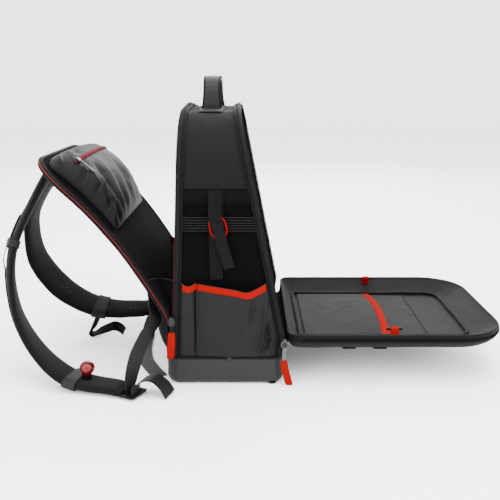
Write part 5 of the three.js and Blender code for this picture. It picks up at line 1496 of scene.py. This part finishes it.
def buildTape(name, side, nodeName):
    low, height = sidesLook["tapeLow"], sidesLook["tapeHeight"]
    grid = np.array([[onSide(side, a, low + height * b, 1.0) for b in np.linspace(0, 1, 12)]
        for a in np.linspace(0, 1, 60)])
    outward = gridNormals(grid)[30, 6, 1] * side > 0
    onBag(clothObject(name, grid, 0.9, [finishes["blackCloth"]], inward=1 if outward else -1), "dark_cloth",
        f"side_tape_{nodeName}")
    lines = [(np.array([onSide(side, a, low + height * b, 1.05) for a in np.linspace(0.005, 0.995, 40)]),
        (0, side, 0)) for b in np.linspace(0.08, 0.92, 6)]
    onBag(repeatAlong(name + "Lines", lines, "Thread", (3.0, 1.0, 0.5), 2.7, finishes["greyThread"]),
        "dark_cloth")


for side, label in ((-1, "near"), (1, "far")):
    buildSidePocket("sidePocket" + label.title(), side, label)
    buildElastic("sideElastic" + label.title(), side, label)
    buildTape("sideTape" + label.title(), side, label)

# paths of webbing and straps
def alongRows(rows, count):
    # a smooth run through rows of x, y, z, width direction, width: the same curve as the solids'
    rows = np.array(rows, float)
    p = rows[:, :3]
    last = len(p) - 1

    def at(share):
        place = share * last
        k = min(last - 1, int(place))
        w = place - k
        p0 = p[k - 1] if k > 0 else 2 * p[0] - p[1]
        p1, p2 = p[k], p[k + 1]
        p3 = p[k + 2] if k + 2 <= last else 2 * p[last] - p[last - 1]
        d0, d1, d2 = (max(1e-4, np.sum((b - a) ** 2) ** 0.25) for a, b in ((p0, p1), (p1, p2), (p2, p3)))
        t1 = ((p1 - p0) / d0 - (p2 - p0) / (d0 + d1) + (p2 - p1) / d1) * d1
        t2 = ((p2 - p1) / d1 - (p3 - p1) / (d1 + d2) + (p3 - p2) / d2) * d1
        return p1 + t1 * w + (-3 * p1 + 3 * p2 - 2 * t1 - t2) * w * w + (2 * p1 - 2 * p2 + t1 + t2) * w ** 3

    stations = []
    for share in np.linspace(0, 1, count):
        along = at(min(1, share + 1e-4)) - at(max(0, share - 1e-4))
        along /= np.linalg.norm(along)
        place = share * last
        k = min(last - 1, int(place))
        row = mixed(rows[k], rows[k + 1], place - k)
        across = row[3:6] - along * np.dot(row[3:6], along)
        across /= np.linalg.norm(across)
        stations.append({"at": at(share), "across": across, "normal": np.cross(along, across),
            "along": along, "width": row[6]})
    return stations


def off(station, side, out):
    return station["at"] + station["across"] * side + station["normal"] * out


def pathLength(rows):
    points = [s["at"] for s in rows]
    return sum(float(np.linalg.norm(b - a)) for a, b in zip(points, points[1:]))


def flatWebbing(name, rows, count, thickness, material, slotName, nodes, wave=0.25, seed=1.0):
    print(f"{name} is {pathLength(alongRows(rows, count)):.0f} mm long")
    sections = []
    for s in alongRows(rows, count):
        low, high = [], []
        for part in np.linspace(-1, 1, 9):
            lift = wave * float(grain([off(s, part * s["width"] / 2, 0)], 30, seed)[0])
            thick = thickness / 2 * (1 - 0.35 * part ** 8)
            low.append(off(s, part * s["width"] / 2, -thick + lift))
            high.append(off(s, part * s["width"] / 2, thick + lift))
        sections.append(low + high[::-1])
    obj = loftObject(name, sections, [material], sharp=60)
    return onBag(obj, slotName, *nodes)


# side ring and the webbing that runs down through it
ringTilt = math.radians(13)
ringCentre = (-8.5, 253)


def onRing(across, down, out):
    x = ringCentre[0] + across * math.cos(ringTilt) + down * math.sin(ringTilt)
    z = ringCentre[1] + across * math.sin(ringTilt) - down * math.cos(ringTilt)
    return (x, -(160 + 0.35 + out), z)


ringLook = {"halfWidth": 13.4, "halfLength": 17.5, "bar": 2.7, "depth": 3.4, "seat": 3.6}
ringRows = []
for t in np.radians(np.linspace(0, 360, 72, endpoint=False)):
    c, n = math.cos(t), math.sin(t)
    r = (abs(c) ** 2.6 + abs(n) ** 2.6) ** (-1 / 2.6)
    row = []
    for q in np.radians(np.linspace(0, 360, 14, endpoint=False)):
        shrink = ringLook["bar"] / 2 * (1 - math.cos(q))
        out = ringLook["depth"] / 2 * (1 + math.sin(q))
        row.append(onRing((ringLook["halfWidth"] - shrink) * c * r,
            (ringLook["halfLength"] - shrink) * n * r, ringLook["seat"] + out))
    ringRows.append(row)
onBag(loftObject("sideRing", ringRows, [finishes["redPlastic"]], ring=True), "red_cloth", "side_ring")


def sideStrip(name, path, width, material, nodes, count=90, seed=4.0):
    # path rows: across, down and out from the middle of the ring, and how straight it hangs
    rows = []
    for across, down, out, plumb in path:
        at = onRing(across, down, out)
        lift = (down + 20) * math.sin(ringTilt) * plumb
        rows.append([at[0] - lift, at[1], at[2], math.cos(ringTilt * (1 - plumb)), 0,
            math.sin(ringTilt * (1 - plumb)), width])
    return flatWebbing(name, rows, count, 1.5, material, "webbing", nodes, 0.25, seed)


sideStrip("sideWebbingBack", [(0, -57, 2.6, 1), (0, -40, 2.7, 1), (0, -26, 2.5, 1), (0, -10, 2.0, 1),
    (0, 30, 1.6, 1), (1, 76, 1.6, 1), (1.5, 84, 2.0, 1)], 19, finishes["webbingBlack"], [])
sideStrip("sideWebbingUpper", [(0, -57, 5.0, 1), (0, -40, 5.1, 1), (0, -30, 5.6, 1), (0, -23, 7.6, 0.8),
    (0, -17, 9.4, 0.5), (0, -12, 9.2, 0.2), (0, -6, 8.2, 0), (0, 0, 7.6, 0)], 19.5,
    finishes["webbingBlack"], [], 60, 2.0)
sideStrip("sideWebbing", [(0, -8, 9.4, 0), (0, -2, 9.6, 0), (0, 6, 9.6, 0), (0, 14, 10.0, 0),
    (0, 19, 10.2, 0), (0, 25, 9.4, 0), (0.5, 34, 8.6, 0), (1.0, 42, 9.0, 0), (1.5, 52, 7.8, 0),
    (2.5, 64, 8.4, 0)], 17, finishes["webbingSide"], ["side_webbing"])
boxX, boxZ = -9.2, 284.0
boxFace = -(bag["bandHalf"] + 6.6)
boxLines = []
for height in (boxZ - 13, boxZ - 8.5):
    boxLines.append((np.array([(boxX - 8, boxFace, height), (boxX + 8, boxFace, height)]), (0, -1, 0)))
for across in (-7.6, 7.6):
    boxLines.append((np.array([(boxX + across, boxFace, boxZ - 12), (boxX + across, boxFace, boxZ + 24)]),
        (0, -1, 0)))
onBag(repeatAlong("sideBoxStitches", boxLines, "Thread", (2.2, 0.6, 0.5), 3.0, finishes["greyThread"]),
    "webbing")

# zip sliders and pull tabs
def hangingPiece(name, rows, material, slotName, nodes, sides=16, power=0.45):
    rows = np.array(rows, float)
    fine = np.linspace(0, len(rows) - 1, 26)
    sections = []
    for place in fine:
        x, half, y0, y1, z = (np.interp(place, np.arange(len(rows)), rows[:, k]) for k in range(5))
        end = min(place, len(rows) - 1 - place)
        shrink = 1 - 0.18 * max(0.0, 1 - end / 0.12)
        middle, deep = (y0 + y1) / 2, abs(y1 - y0) / 2
        row = []
        for t in np.radians(np.linspace(0, 360, sides, endpoint=False)):
            c, s = math.cos(t), math.sin(t)
            row.append((x + half * shrink * math.copysign(abs(c) ** power, c),
                middle + deep * shrink * math.copysign(abs(s) ** power, s), z))
        sections.append(row)
    return onBag(loftObject(name, sections, [material], ends="fan", sharp=50), slotName, *nodes)


sliderFace = -(160 + 6 + 0.35)
backSliderX = backX(99) - 2.5
frontSliderX = 92.5
for label, x, top, rows, tabRows in (
    ("Back", backSliderX, 113, [(backSliderX, 3.2, sliderFace - 1.5, sliderFace - 4.5, 99),
        (backSliderX, 3.4, sliderFace - 1.8, sliderFace - 3.8, 88.8)],
     [(backSliderX - 0.5, 5.4, sliderFace - 1.4, sliderFace - 4.4, 88.6),
         (backSliderX - 1.5, 6, sliderFace - 1.2, sliderFace - 4.6, 69),
         (backSliderX - 3.5, 6, sliderFace - 1.2, sliderFace - 4.4, 46)]),
    ("Front", frontSliderX, 77, [(frontSliderX, 3.2, sliderFace - 1.5, sliderFace - 4.5, 63),
        (frontSliderX - 1, 3.2, sliderFace - 1.8, sliderFace - 3.8, 43)],
     [(frontSliderX - 1.2, 5.4, sliderFace - 1.4, sliderFace - 4.4, 42.6),
         (frontSliderX + 2, 6, sliderFace - 1.4, sliderFace - 4.6, 24),
         (frontSliderX + 8, 6, sliderFace - 1.4, sliderFace - 4.4, 2)]),
):
    node = label.lower()
    body = [(x, 2.6, sliderFace - 0.8, sliderFace - 3.4, top),
        (x, 4.6, sliderFace, sliderFace - 4.6, top - 3), (x, 5, sliderFace, sliderFace - 5, top - 8),
        (x, 4.2, sliderFace - 0.3, sliderFace - 4.6, top - 12),
        (x, 3.0, sliderFace - 0.8, sliderFace - 4, top - 14)]
    hangingPiece("slider" + label, body, finishes["darkMetal"], "slider_metal", ["slider_" + node])
    ring = [(x + 5.2 * math.cos(t), sliderFace - 4.6 - 0.5 * math.sin(t), top - 8 + 5.8 * math.sin(t))
        for t in np.radians(np.linspace(0, 360, 40, endpoint=False))]
    onBag(tubeObject("sliderRing" + label, ring, 0.8,
        [finishes["darkMetal" if label == "Back" else "metal"]], closed=True, up=(0, 1, 0)), "slider_metal")
    hangingPiece("puller" + label, rows, finishes["plastic"] if label == "Back" else finishes["metal"],
        "slider_metal", [])
    hangingPiece("pullTab" + label, tabRows, finishes["redPlastic"], "red_cloth", ["pull_tab_" + node])
print("sides done")

# shoulder straps
strap = {"pad": 14, "width": 60, "end": 42, "webbing": 25, "chest": 20, "buckle": 38,
    "buckleThickness": 4.4}
buckleBars = (-13, -9, -1.6, 2.6, 8.6, 12.6)


def unit(v):
    v = np.array(v, float)
    return v / np.linalg.norm(v)


def buckleFrame(origin, along, up):
    a = unit(along)
    across = unit(np.cross(up, a))
    return {"origin": np.array(origin, float), "along": a, "across": across, "up": np.cross(a, across)}


def inBuckle(place, along, out, shift=0.0, turn=0.0):
    at = place["origin"] + place["along"] * along + place["up"] * out + place["across"] * shift
    across = place["across"] * math.cos(turn) - place["along"] * math.sin(turn)
    return [*at, *across, strap["webbing"]]


def webbingRoot(y, across):
    out = -panel["outer"] - 0.7 - 0.8
    return [[*onPanel(share, y, out), *across, strap["webbing"]] for share in (0.33, 0.3)]


nearFrame = buckleFrame((-138, -205, 5.2), (0.9, -0.44, 0), (0, 0, 1))
padEnd = buckleBars[0] - 0.35
nearRoot = onPanel(0.955, -60, -panel["outer"] - 0.35 - 1.1)
nearEnd = nearFrame["origin"] + nearFrame["along"] * padEnd
nearTurn = nearFrame["origin"] + nearFrame["along"] * (padEnd - 20)
w = strap["width"]
nearStrapRows = [
    [nearRoot[0], -60, nearRoot[2], 0, 1, 0, w], [-296, -61, 302, -0.1, 1, 0, w + 4],
    [-314, -70, 270, -0.2, 1, 0, w + 6],
    [-330, -80, 239, -0.28, 1, 0, w + 4], [-341, -90, 208, -0.32, 1, 0, w + 2],
    [-344, -103, 175, -0.32, 1, 0, w],
    [-339, -118, 141, -0.3, 1, 0, w - 2], [-327, -134, 105, -0.24, 1, 0, w - 4],
    [-305, -150, 69, -0.12, 1, 0, w - 6],
    [-277, -161, 38, 0, 1, 0, w - 8], [-242, -172, 16, 0.2, 1, 0, w - 11],
    [-205, -180, 8.8, 0.25, 1, 0, strap["end"] + 4],
    [nearTurn[0], nearTurn[1], 7.8, *nearFrame["across"], strap["end"]],
    [nearEnd[0], nearEnd[1], 6.4, *nearFrame["across"], strap["end"] - 4],
]
farFrame = buckleFrame((-136, 68, 57), (0.88, 0.42, 0.2), (-0.1, -0.34, 0.93))
farRoot = onPanel(0.955, 60, -panel["outer"] - 0.35)
farEnd = farFrame["origin"] + farFrame["along"] * padEnd
farTurn = farFrame["origin"] + farFrame["along"] * (padEnd - 14)
farStrapRows = [
    [farRoot[0], 60, farRoot[2], 0, 1, 0, w], [-303, 60, 304, 0, 1, 0, w + 4],
    [-332, 60, 270, 0, 1, 0, w + 6],
    [-354, 60, 228, 0.04, 1, 0, w + 4], [-357, 60, 188, 0.1, 1, 0, w + 2], [-352, 60, 154, 0.2, 1, 0.1, w],
    [-337, 60, 124, 0.25, 0.95, 0.2, w - 2], [-314, 60, 96, 0.26, 0.93, 0.28, w - 4],
    [-287, 60, 74, 0.2, 0.93, 0.33, w - 6],
    [-250, 60, 56, 0.1, 0.93, 0.36, w - 9], [-205, 60, 49, 0, 0.94, 0.34, strap["end"] + 5],
    [-182, 59, 50, 0, 0.94, 0.34, strap["end"] + 2],
    [*farTurn, *farFrame["across"], strap["end"]], [*farEnd, *farFrame["across"], strap["end"] - 4],
]


def padSection(s, end, dimple):
    half = strap["pad"] / 2 * end
    low, high = [], []
    for part in np.sin(np.linspace(-0.5, 0.5, 19) * np.pi):
        shape = 0.3 + 0.7 * (1 - abs(part) ** 3.2) ** 0.6
        swell = 1 + dimple * (1 - part * part)
        low.append(off(s, part * s["width"] / 2, -half * shape * swell))
        high.append(off(s, part * s["width"] / 2, half * shape * swell))
    return low + high[::-1]


def buildPaddedStrap(name, rows, node):
    stations = alongRows(rows, 210)
    sections = []
    for k, s in enumerate(stations):
        end = min(1.0, 0.6 + 0.4 * min(k, len(stations) - 1 - k) / 8)
        sections.append(padSection(s, end, 0.05 * float(grain([s["at"]], 40, 3.0)[0])))
    obj = loftObject(name, sections, [finishes["airMesh"], finishes["charcoal"]], sharp=75, pick=lambda i,
        j: 1 if j < 18 else 0)
    onBag(obj, "mesh_cloth", node)
    for label, side in (("A", -1), ("B", 1)):
        line = np.array([off(s, side * (s["width"] / 2 - 0.4), 0) for s in stations[2:-2]])
        line += 0.5 * np.column_stack([grain(line, 24, 3.0 + side), 0 * line[:, 0],
            grain(line, 24, 8.0 + side)])
        onBag(tubeObject(name + "Edge" + label, line, 2.6, [finishes["binding"]], up=(0, 1, 0.02)),
            "binding")
    return stations


buildPaddedStrap("strapNear", nearStrapRows, "strap_near")
buildPaddedStrap("strapFar", farStrapRows, "strap_far")


wrapLook = {"stations": 26, "steps": 8, "sideInner": 1.9, "sideOuter": 3.2, "faceInner": 0.9, "faceOuter": 2.2}


def buildWrap(name, rows, first, material, node):
    # a band of webbing right round a strap
    steps = wrapLook["steps"]
    fine = alongRows(rows, wrapLook["stations"] * steps + 1)[first * steps : (first + 1) * steps + 1]
    half = strap["pad"] / 2
    sections = []
    for t in np.radians(np.linspace(0, 360, 60, endpoint=False)):
        c, n = math.cos(t), math.sin(t)
        across, out = math.copysign(abs(c) ** 0.55, c), math.copysign(abs(n) ** 0.7, n)
        row = []
        for s in fine:
            row.append(off(s, across * (s["width"] / 2 + wrapLook["sideOuter"]), out * (half + wrapLook["faceOuter"])))
        back = []
        for s in fine[::-1]:
            back.append(off(s, across * (s["width"] / 2 + wrapLook["sideInner"]), out * (half + wrapLook["faceInner"])))
        sections.append(row + back)
    return onBag(loftObject(name, sections, [material], ring=True, sharp=60), "webbing", node)


buildWrap("strapNearBand", nearStrapRows, 20, finishes["webbing"], "strap_near_band")
buildWrap("strapFarBand", farStrapRows, 18, finishes["greyPatch"], "strap_far_band")


def strapTrims(name, rows, face, reach, keepers, crosses):
    # webbing down a strap's outer face, keepers round both, and box stitches on the inner face
    stations = alongRows(rows, 401)
    first, last = int(reach[0] * 400), int(reach[1] * 400)
    sections = []
    for k in range(first, last + 1):
        s = stations[k]
        loop = face["low"] * abs(math.sin(math.pi * (k - first) / 24)) ** 0.7
        loop = max(loop, face["loop"] * math.sin(math.pi * np.clip((k / 400 - face["at"]) / face["wide"], 0,
            1)) ** 0.6)
        seat = strap["pad"] / 2 + 0.2 + loop
        low = [off(s, part * 12.5, -seat - 1.6) for part in np.linspace(-1, 1, 7)]
        high = [off(s, part * 12.5, -seat) for part in np.linspace(-1, 1, 7)]
        sections.append(low + high[::-1])
    onBag(loftObject(name + "Face", sections, [finishes["webbingBlack"]], sharp=60), "webbing")
    for number, (place, length, material) in enumerate(keepers):
        fine = stations[int(place * 400) : int(place * 400) + length]
        half = strap["pad"] / 2
        rings = []
        for t in np.radians(np.linspace(0, 360, 48, endpoint=False)):
            c, n = math.cos(t), math.sin(t)
            across, out = math.copysign(abs(c) ** 0.5, c), math.copysign(abs(n) ** 0.6, n)
            lift = face["loop"] * 0.4 + 1.6 if n < 0 else 0.6
            outer = [off(s, across * (s["width"] / 2 + 2.9), out * (half + lift + 1.2)) for s in fine]
            inner = [off(s, across * (s["width"] / 2 + 1.9), out * (half + lift)) for s in fine[::-1]]
            rings.append(outer + inner)
        onBag(loftObject(f"{name}Keeper{number + 1}", rings, [finishes[material]], ring=True, sharp=60),
            "webbing")
    lines = []
    for place, size in crosses:
        s = stations[int(place * 400)]
        lift = strap["pad"] / 2 * 1.02 + 0.3

        def spot(x, y):
            return s["at"] + s["along"] * y * size + s["across"] * x * size + s["normal"] * lift

        for x0, y0, x1, y1 in ((-1, -1, 1, -1), (1, -1, 1, 1), (1, 1, -1, 1), (-1, 1, -1, -1),
            (-1, -1, 1, 1), (-1, 1, 1, -1)):
            lines.append((np.array([spot(x0, y0), spot(x1, y1)]), s["normal"]))
    if lines:
        onBag(repeatAlong(name + "BoxStitches", lines, "Thread", (2.4, 1.1, 0.8), 2.7,
            finishes["greyThread"]), "mesh_cloth")


strapTrims("strapNear", nearStrapRows, {"low": 0.1, "loop": 3.6, "at": 0.318, "wide": 0.07}, (0.2, 0.78),
    [(0.288, 13, "greyPatch")], [])
strapTrims("strapFar", farStrapRows, {"low": 0.1, "loop": 1.6, "at": 0.3, "wide": 0.09}, (0.14, 0.72), [],
    [(0.573, 9), (0.877, 9)])

# glossy knob sewn on the near strap
knobStation = alongRows(nearStrapRows, 201)[165]
knobUp = knobStation["normal"] if knobStation["normal"][2] > 0 else -knobStation["normal"]
knobSeat = knobStation["at"] + knobUp * (strap["pad"] / 2 + 0.65)
knobA = unit(np.cross(knobUp, (0, 1, 0)))
knobB = np.cross(knobUp, knobA)
knobLook = {"radius": 11.6, "height": 19.5, "neck": 8.0}
knobProfile = [(8.2, 0), (7.8, 4), (7.2, 7.4), (7.6, 8.2)] + [
    (knobLook["radius"] * math.sin(t) ** 0.8, knobLook["neck"] + knobLook["height"] / 2 * (1 - math.cos(t)))
    for t in np.radians(np.linspace(38, 177, 20))
]
knobRows = [[knobSeat + knobA * r * math.cos(t) + knobB * r * math.sin(t) + knobUp * h
    for t in np.radians(np.linspace(0, 360, 40, endpoint=False))] for r, h in knobProfile]
onBag(loftObject("strapKnob", knobRows, [finishes["redGloss"], finishes["blackCloth"]], ends="fan",
    sharp=80, pick=lambda i, j: 1 if i < 3 else 0), "red_gloss", "strap_near_knob")


def buildBuckle(name, place, node):
    # ladder buckle: a rounded frame with three bars across
    half, deep = strap["buckle"] / 2, strap["buckleThickness"] / 2

    def put(a, c, o):
        return place["origin"] + place["along"] * a + place["across"] * c + place["up"] * o

    parts = [((buckleBars[0], buckleBars[1]), half), ((buckleBars[2], buckleBars[3]), 14.5),
        ((buckleBars[4], buckleBars[5]), half)]
    points, faces = [], []

    def bar(corners, size):
        # a rounded bar between two ends with a rectangular section
        first = len(points)
        (a, b) = corners
        length = np.linalg.norm(b - a)
        along = (b - a) / length
        side = unit(np.cross(along, place["up"]))
        up = place["up"]
        for share, shrink in ((0, 0.6), (0.04, 0.9), (0.1, 1), (0.9, 1), (0.96, 0.9), (1, 0.6)):
            for t in np.radians(np.linspace(0, 360, 16, endpoint=False)):
                c, n = math.cos(t), math.sin(t)
                points.append(a + (b - a) * share + side * size[0] * shrink * math.copysign(abs(c) ** 0.5,
                    c) + up * size[1] * shrink * math.copysign(abs(n) ** 0.5, n))
        for i in range(5):
            for j in range(16):
                k = (j + 1) % 16
                faces.append((first + i * 16 + j, first + i * 16 + k, first + (i + 1) * 16 + k,
                    first + (i + 1) * 16 + j))
        faces.append(tuple(reversed(range(first, first + 16))))
        faces.append(tuple(range(first + 80, first + 96)))

    for (low, high), wide in parts:
        middle = (low + high) / 2
        bar((put(middle, -wide, 0), put(middle, wide, 0)), ((high - low) / 2, deep))
    for side in (-1, 1):
        bar((put(buckleBars[0], side * (half - 2.6), 0), put(buckleBars[5], side * (half - 2.6), 0)),
            (2.6, deep * 0.96))
    return onBag(meshObject(name, points, faces, [finishes["plastic"]], sharp=50), "black_plastic", node)


buildBuckle("buckleNear", nearFrame, "strap_near_buckle")
buildBuckle("buckleFar", farFrame, "strap_far_buckle")

wb = strap["webbing"]
nearWebbingRows = [
    *webbingRoot(-140, [0, 1, 0]), [-112, -146, 124, 0.3, 0.9, 0, wb], [-108, -155, 104, 0.6, 0.8, 0, wb],
    [-121, -166, 84, 0.75, 0.65, 0, wb], [-134, -178, 58, 0.75, 0.65, 0, wb],
    [-141, -194, 32, 0.63, 0.78, 0, wb],
    inBuckle(nearFrame, -5.4, 12), inBuckle(nearFrame, -4.6, 4), inBuckle(nearFrame, -4.2, 0),
    inBuckle(nearFrame, -3.2, -3),
    inBuckle(nearFrame, 0.4, -3.5), inBuckle(nearFrame, 4.2, -3), inBuckle(nearFrame, 5.4, 0),
    inBuckle(nearFrame, 5.4, 4),
    [-131, -203, 18, 0.3, 0.95, 0, wb + 1], [-119, -202, 27, 0.3, 0.95, 0, wb + 2],
    [-105, -203, 28, 0.35, 0.93, 0, wb + 3],
    [-91, -205, 18, 0.4, 0.92, 0, wb + 4], [-82, -207, 3.6, 0.43, 0.9, 0, wb + 5],
]
cw = strap["chest"]
chestRows = [
    [-243, 44, 38, 0.5, 0.87, 0, cw - 4], [-251, 44, 20, 0.4, 0.9, 0, cw - 2],
    [-257, 47, 8.6, 0.2, 0.98, 0, cw],
    [-254, 50, 3.6, 0, 1, 0.1, cw], [-242, 51, 8.4, 0.1, 0.86, 0.45, cw], [-228, 52, 14, 0.1, 0.8, 0.6, cw],
    [-214, 53, 18, 0.1, 0.78, 0.62, cw], [-203, 54, 13, 0.1, 0.85, 0.5, cw],
    [-197, 55, 6, 0.05, 1, 0.3, cw + 3],
]
farWebbingRows = [
    *webbingRoot(140, [0, 1, 0]), [-116, 138, 124, -0.1, 1, 0, wb], [-127, 122, 106, -0.5, 0.8, 0.2, wb],
    [-133, 102, 89, -0.75, 0.6, 0.1, wb],
    inBuckle(farFrame, 18, 13, 11, 0.45), inBuckle(farFrame, 13.5, 6.4, 2.5, 0.2),
    inBuckle(farFrame, 9.6, 3.9), inBuckle(farFrame, 6, 2.7),
    inBuckle(farFrame, 5.4, 0), inBuckle(farFrame, 4.4, -3), inBuckle(farFrame, 0.6, -3.6),
]
farTailRows = [
    inBuckle(farFrame, -7.7, 2.6), inBuckle(farFrame, -7.7, 0), inBuckle(farFrame, -7.7, -4),
    inBuckle(farFrame, -7.9, -8),
    [-144, 60, 40, -0.5, 0.85, 0, wb], [-149, 56, 20, -0.85, 0.5, 0, wb], [-151, 44, 4, -1, 0.1, 0, wb],
    [-151, 20, 1.5, -1, 0, 0, wb],
    [-148, -20, 1.5, -1, -0.1, 0, wb], [-139, -67, 1.5, -0.95, -0.3, 0, wb],
    [-124, -103, 1.5, -0.9, -0.4, 0, wb], [-106, -137, 1.5, -0.9, -0.45, 0, wb],
]
flatWebbing("strapNearWebbing", nearWebbingRows, 240, 1.6, finishes["webbing"], "webbing",
    ["strap_near_webbing"], 0.12, 1.0)
flatWebbing("chestWebbing", chestRows, 110, 1.6, finishes["webbingBlack"], "webbing",
    ["strap_far_chest_webbing"], 0.12, 2.0)
flatWebbing("strapFarWebbing", farWebbingRows, 130, 1.6, finishes["webbing"], "webbing",
    ["strap_far_webbing"], 0.12, 3.0)
flatWebbing("strapFarTail", farTailRows, 150, 1.6, finishes["webbing"], "webbing", ["strap_far_tail"], 0.12,
    4.0)
print("straps done")
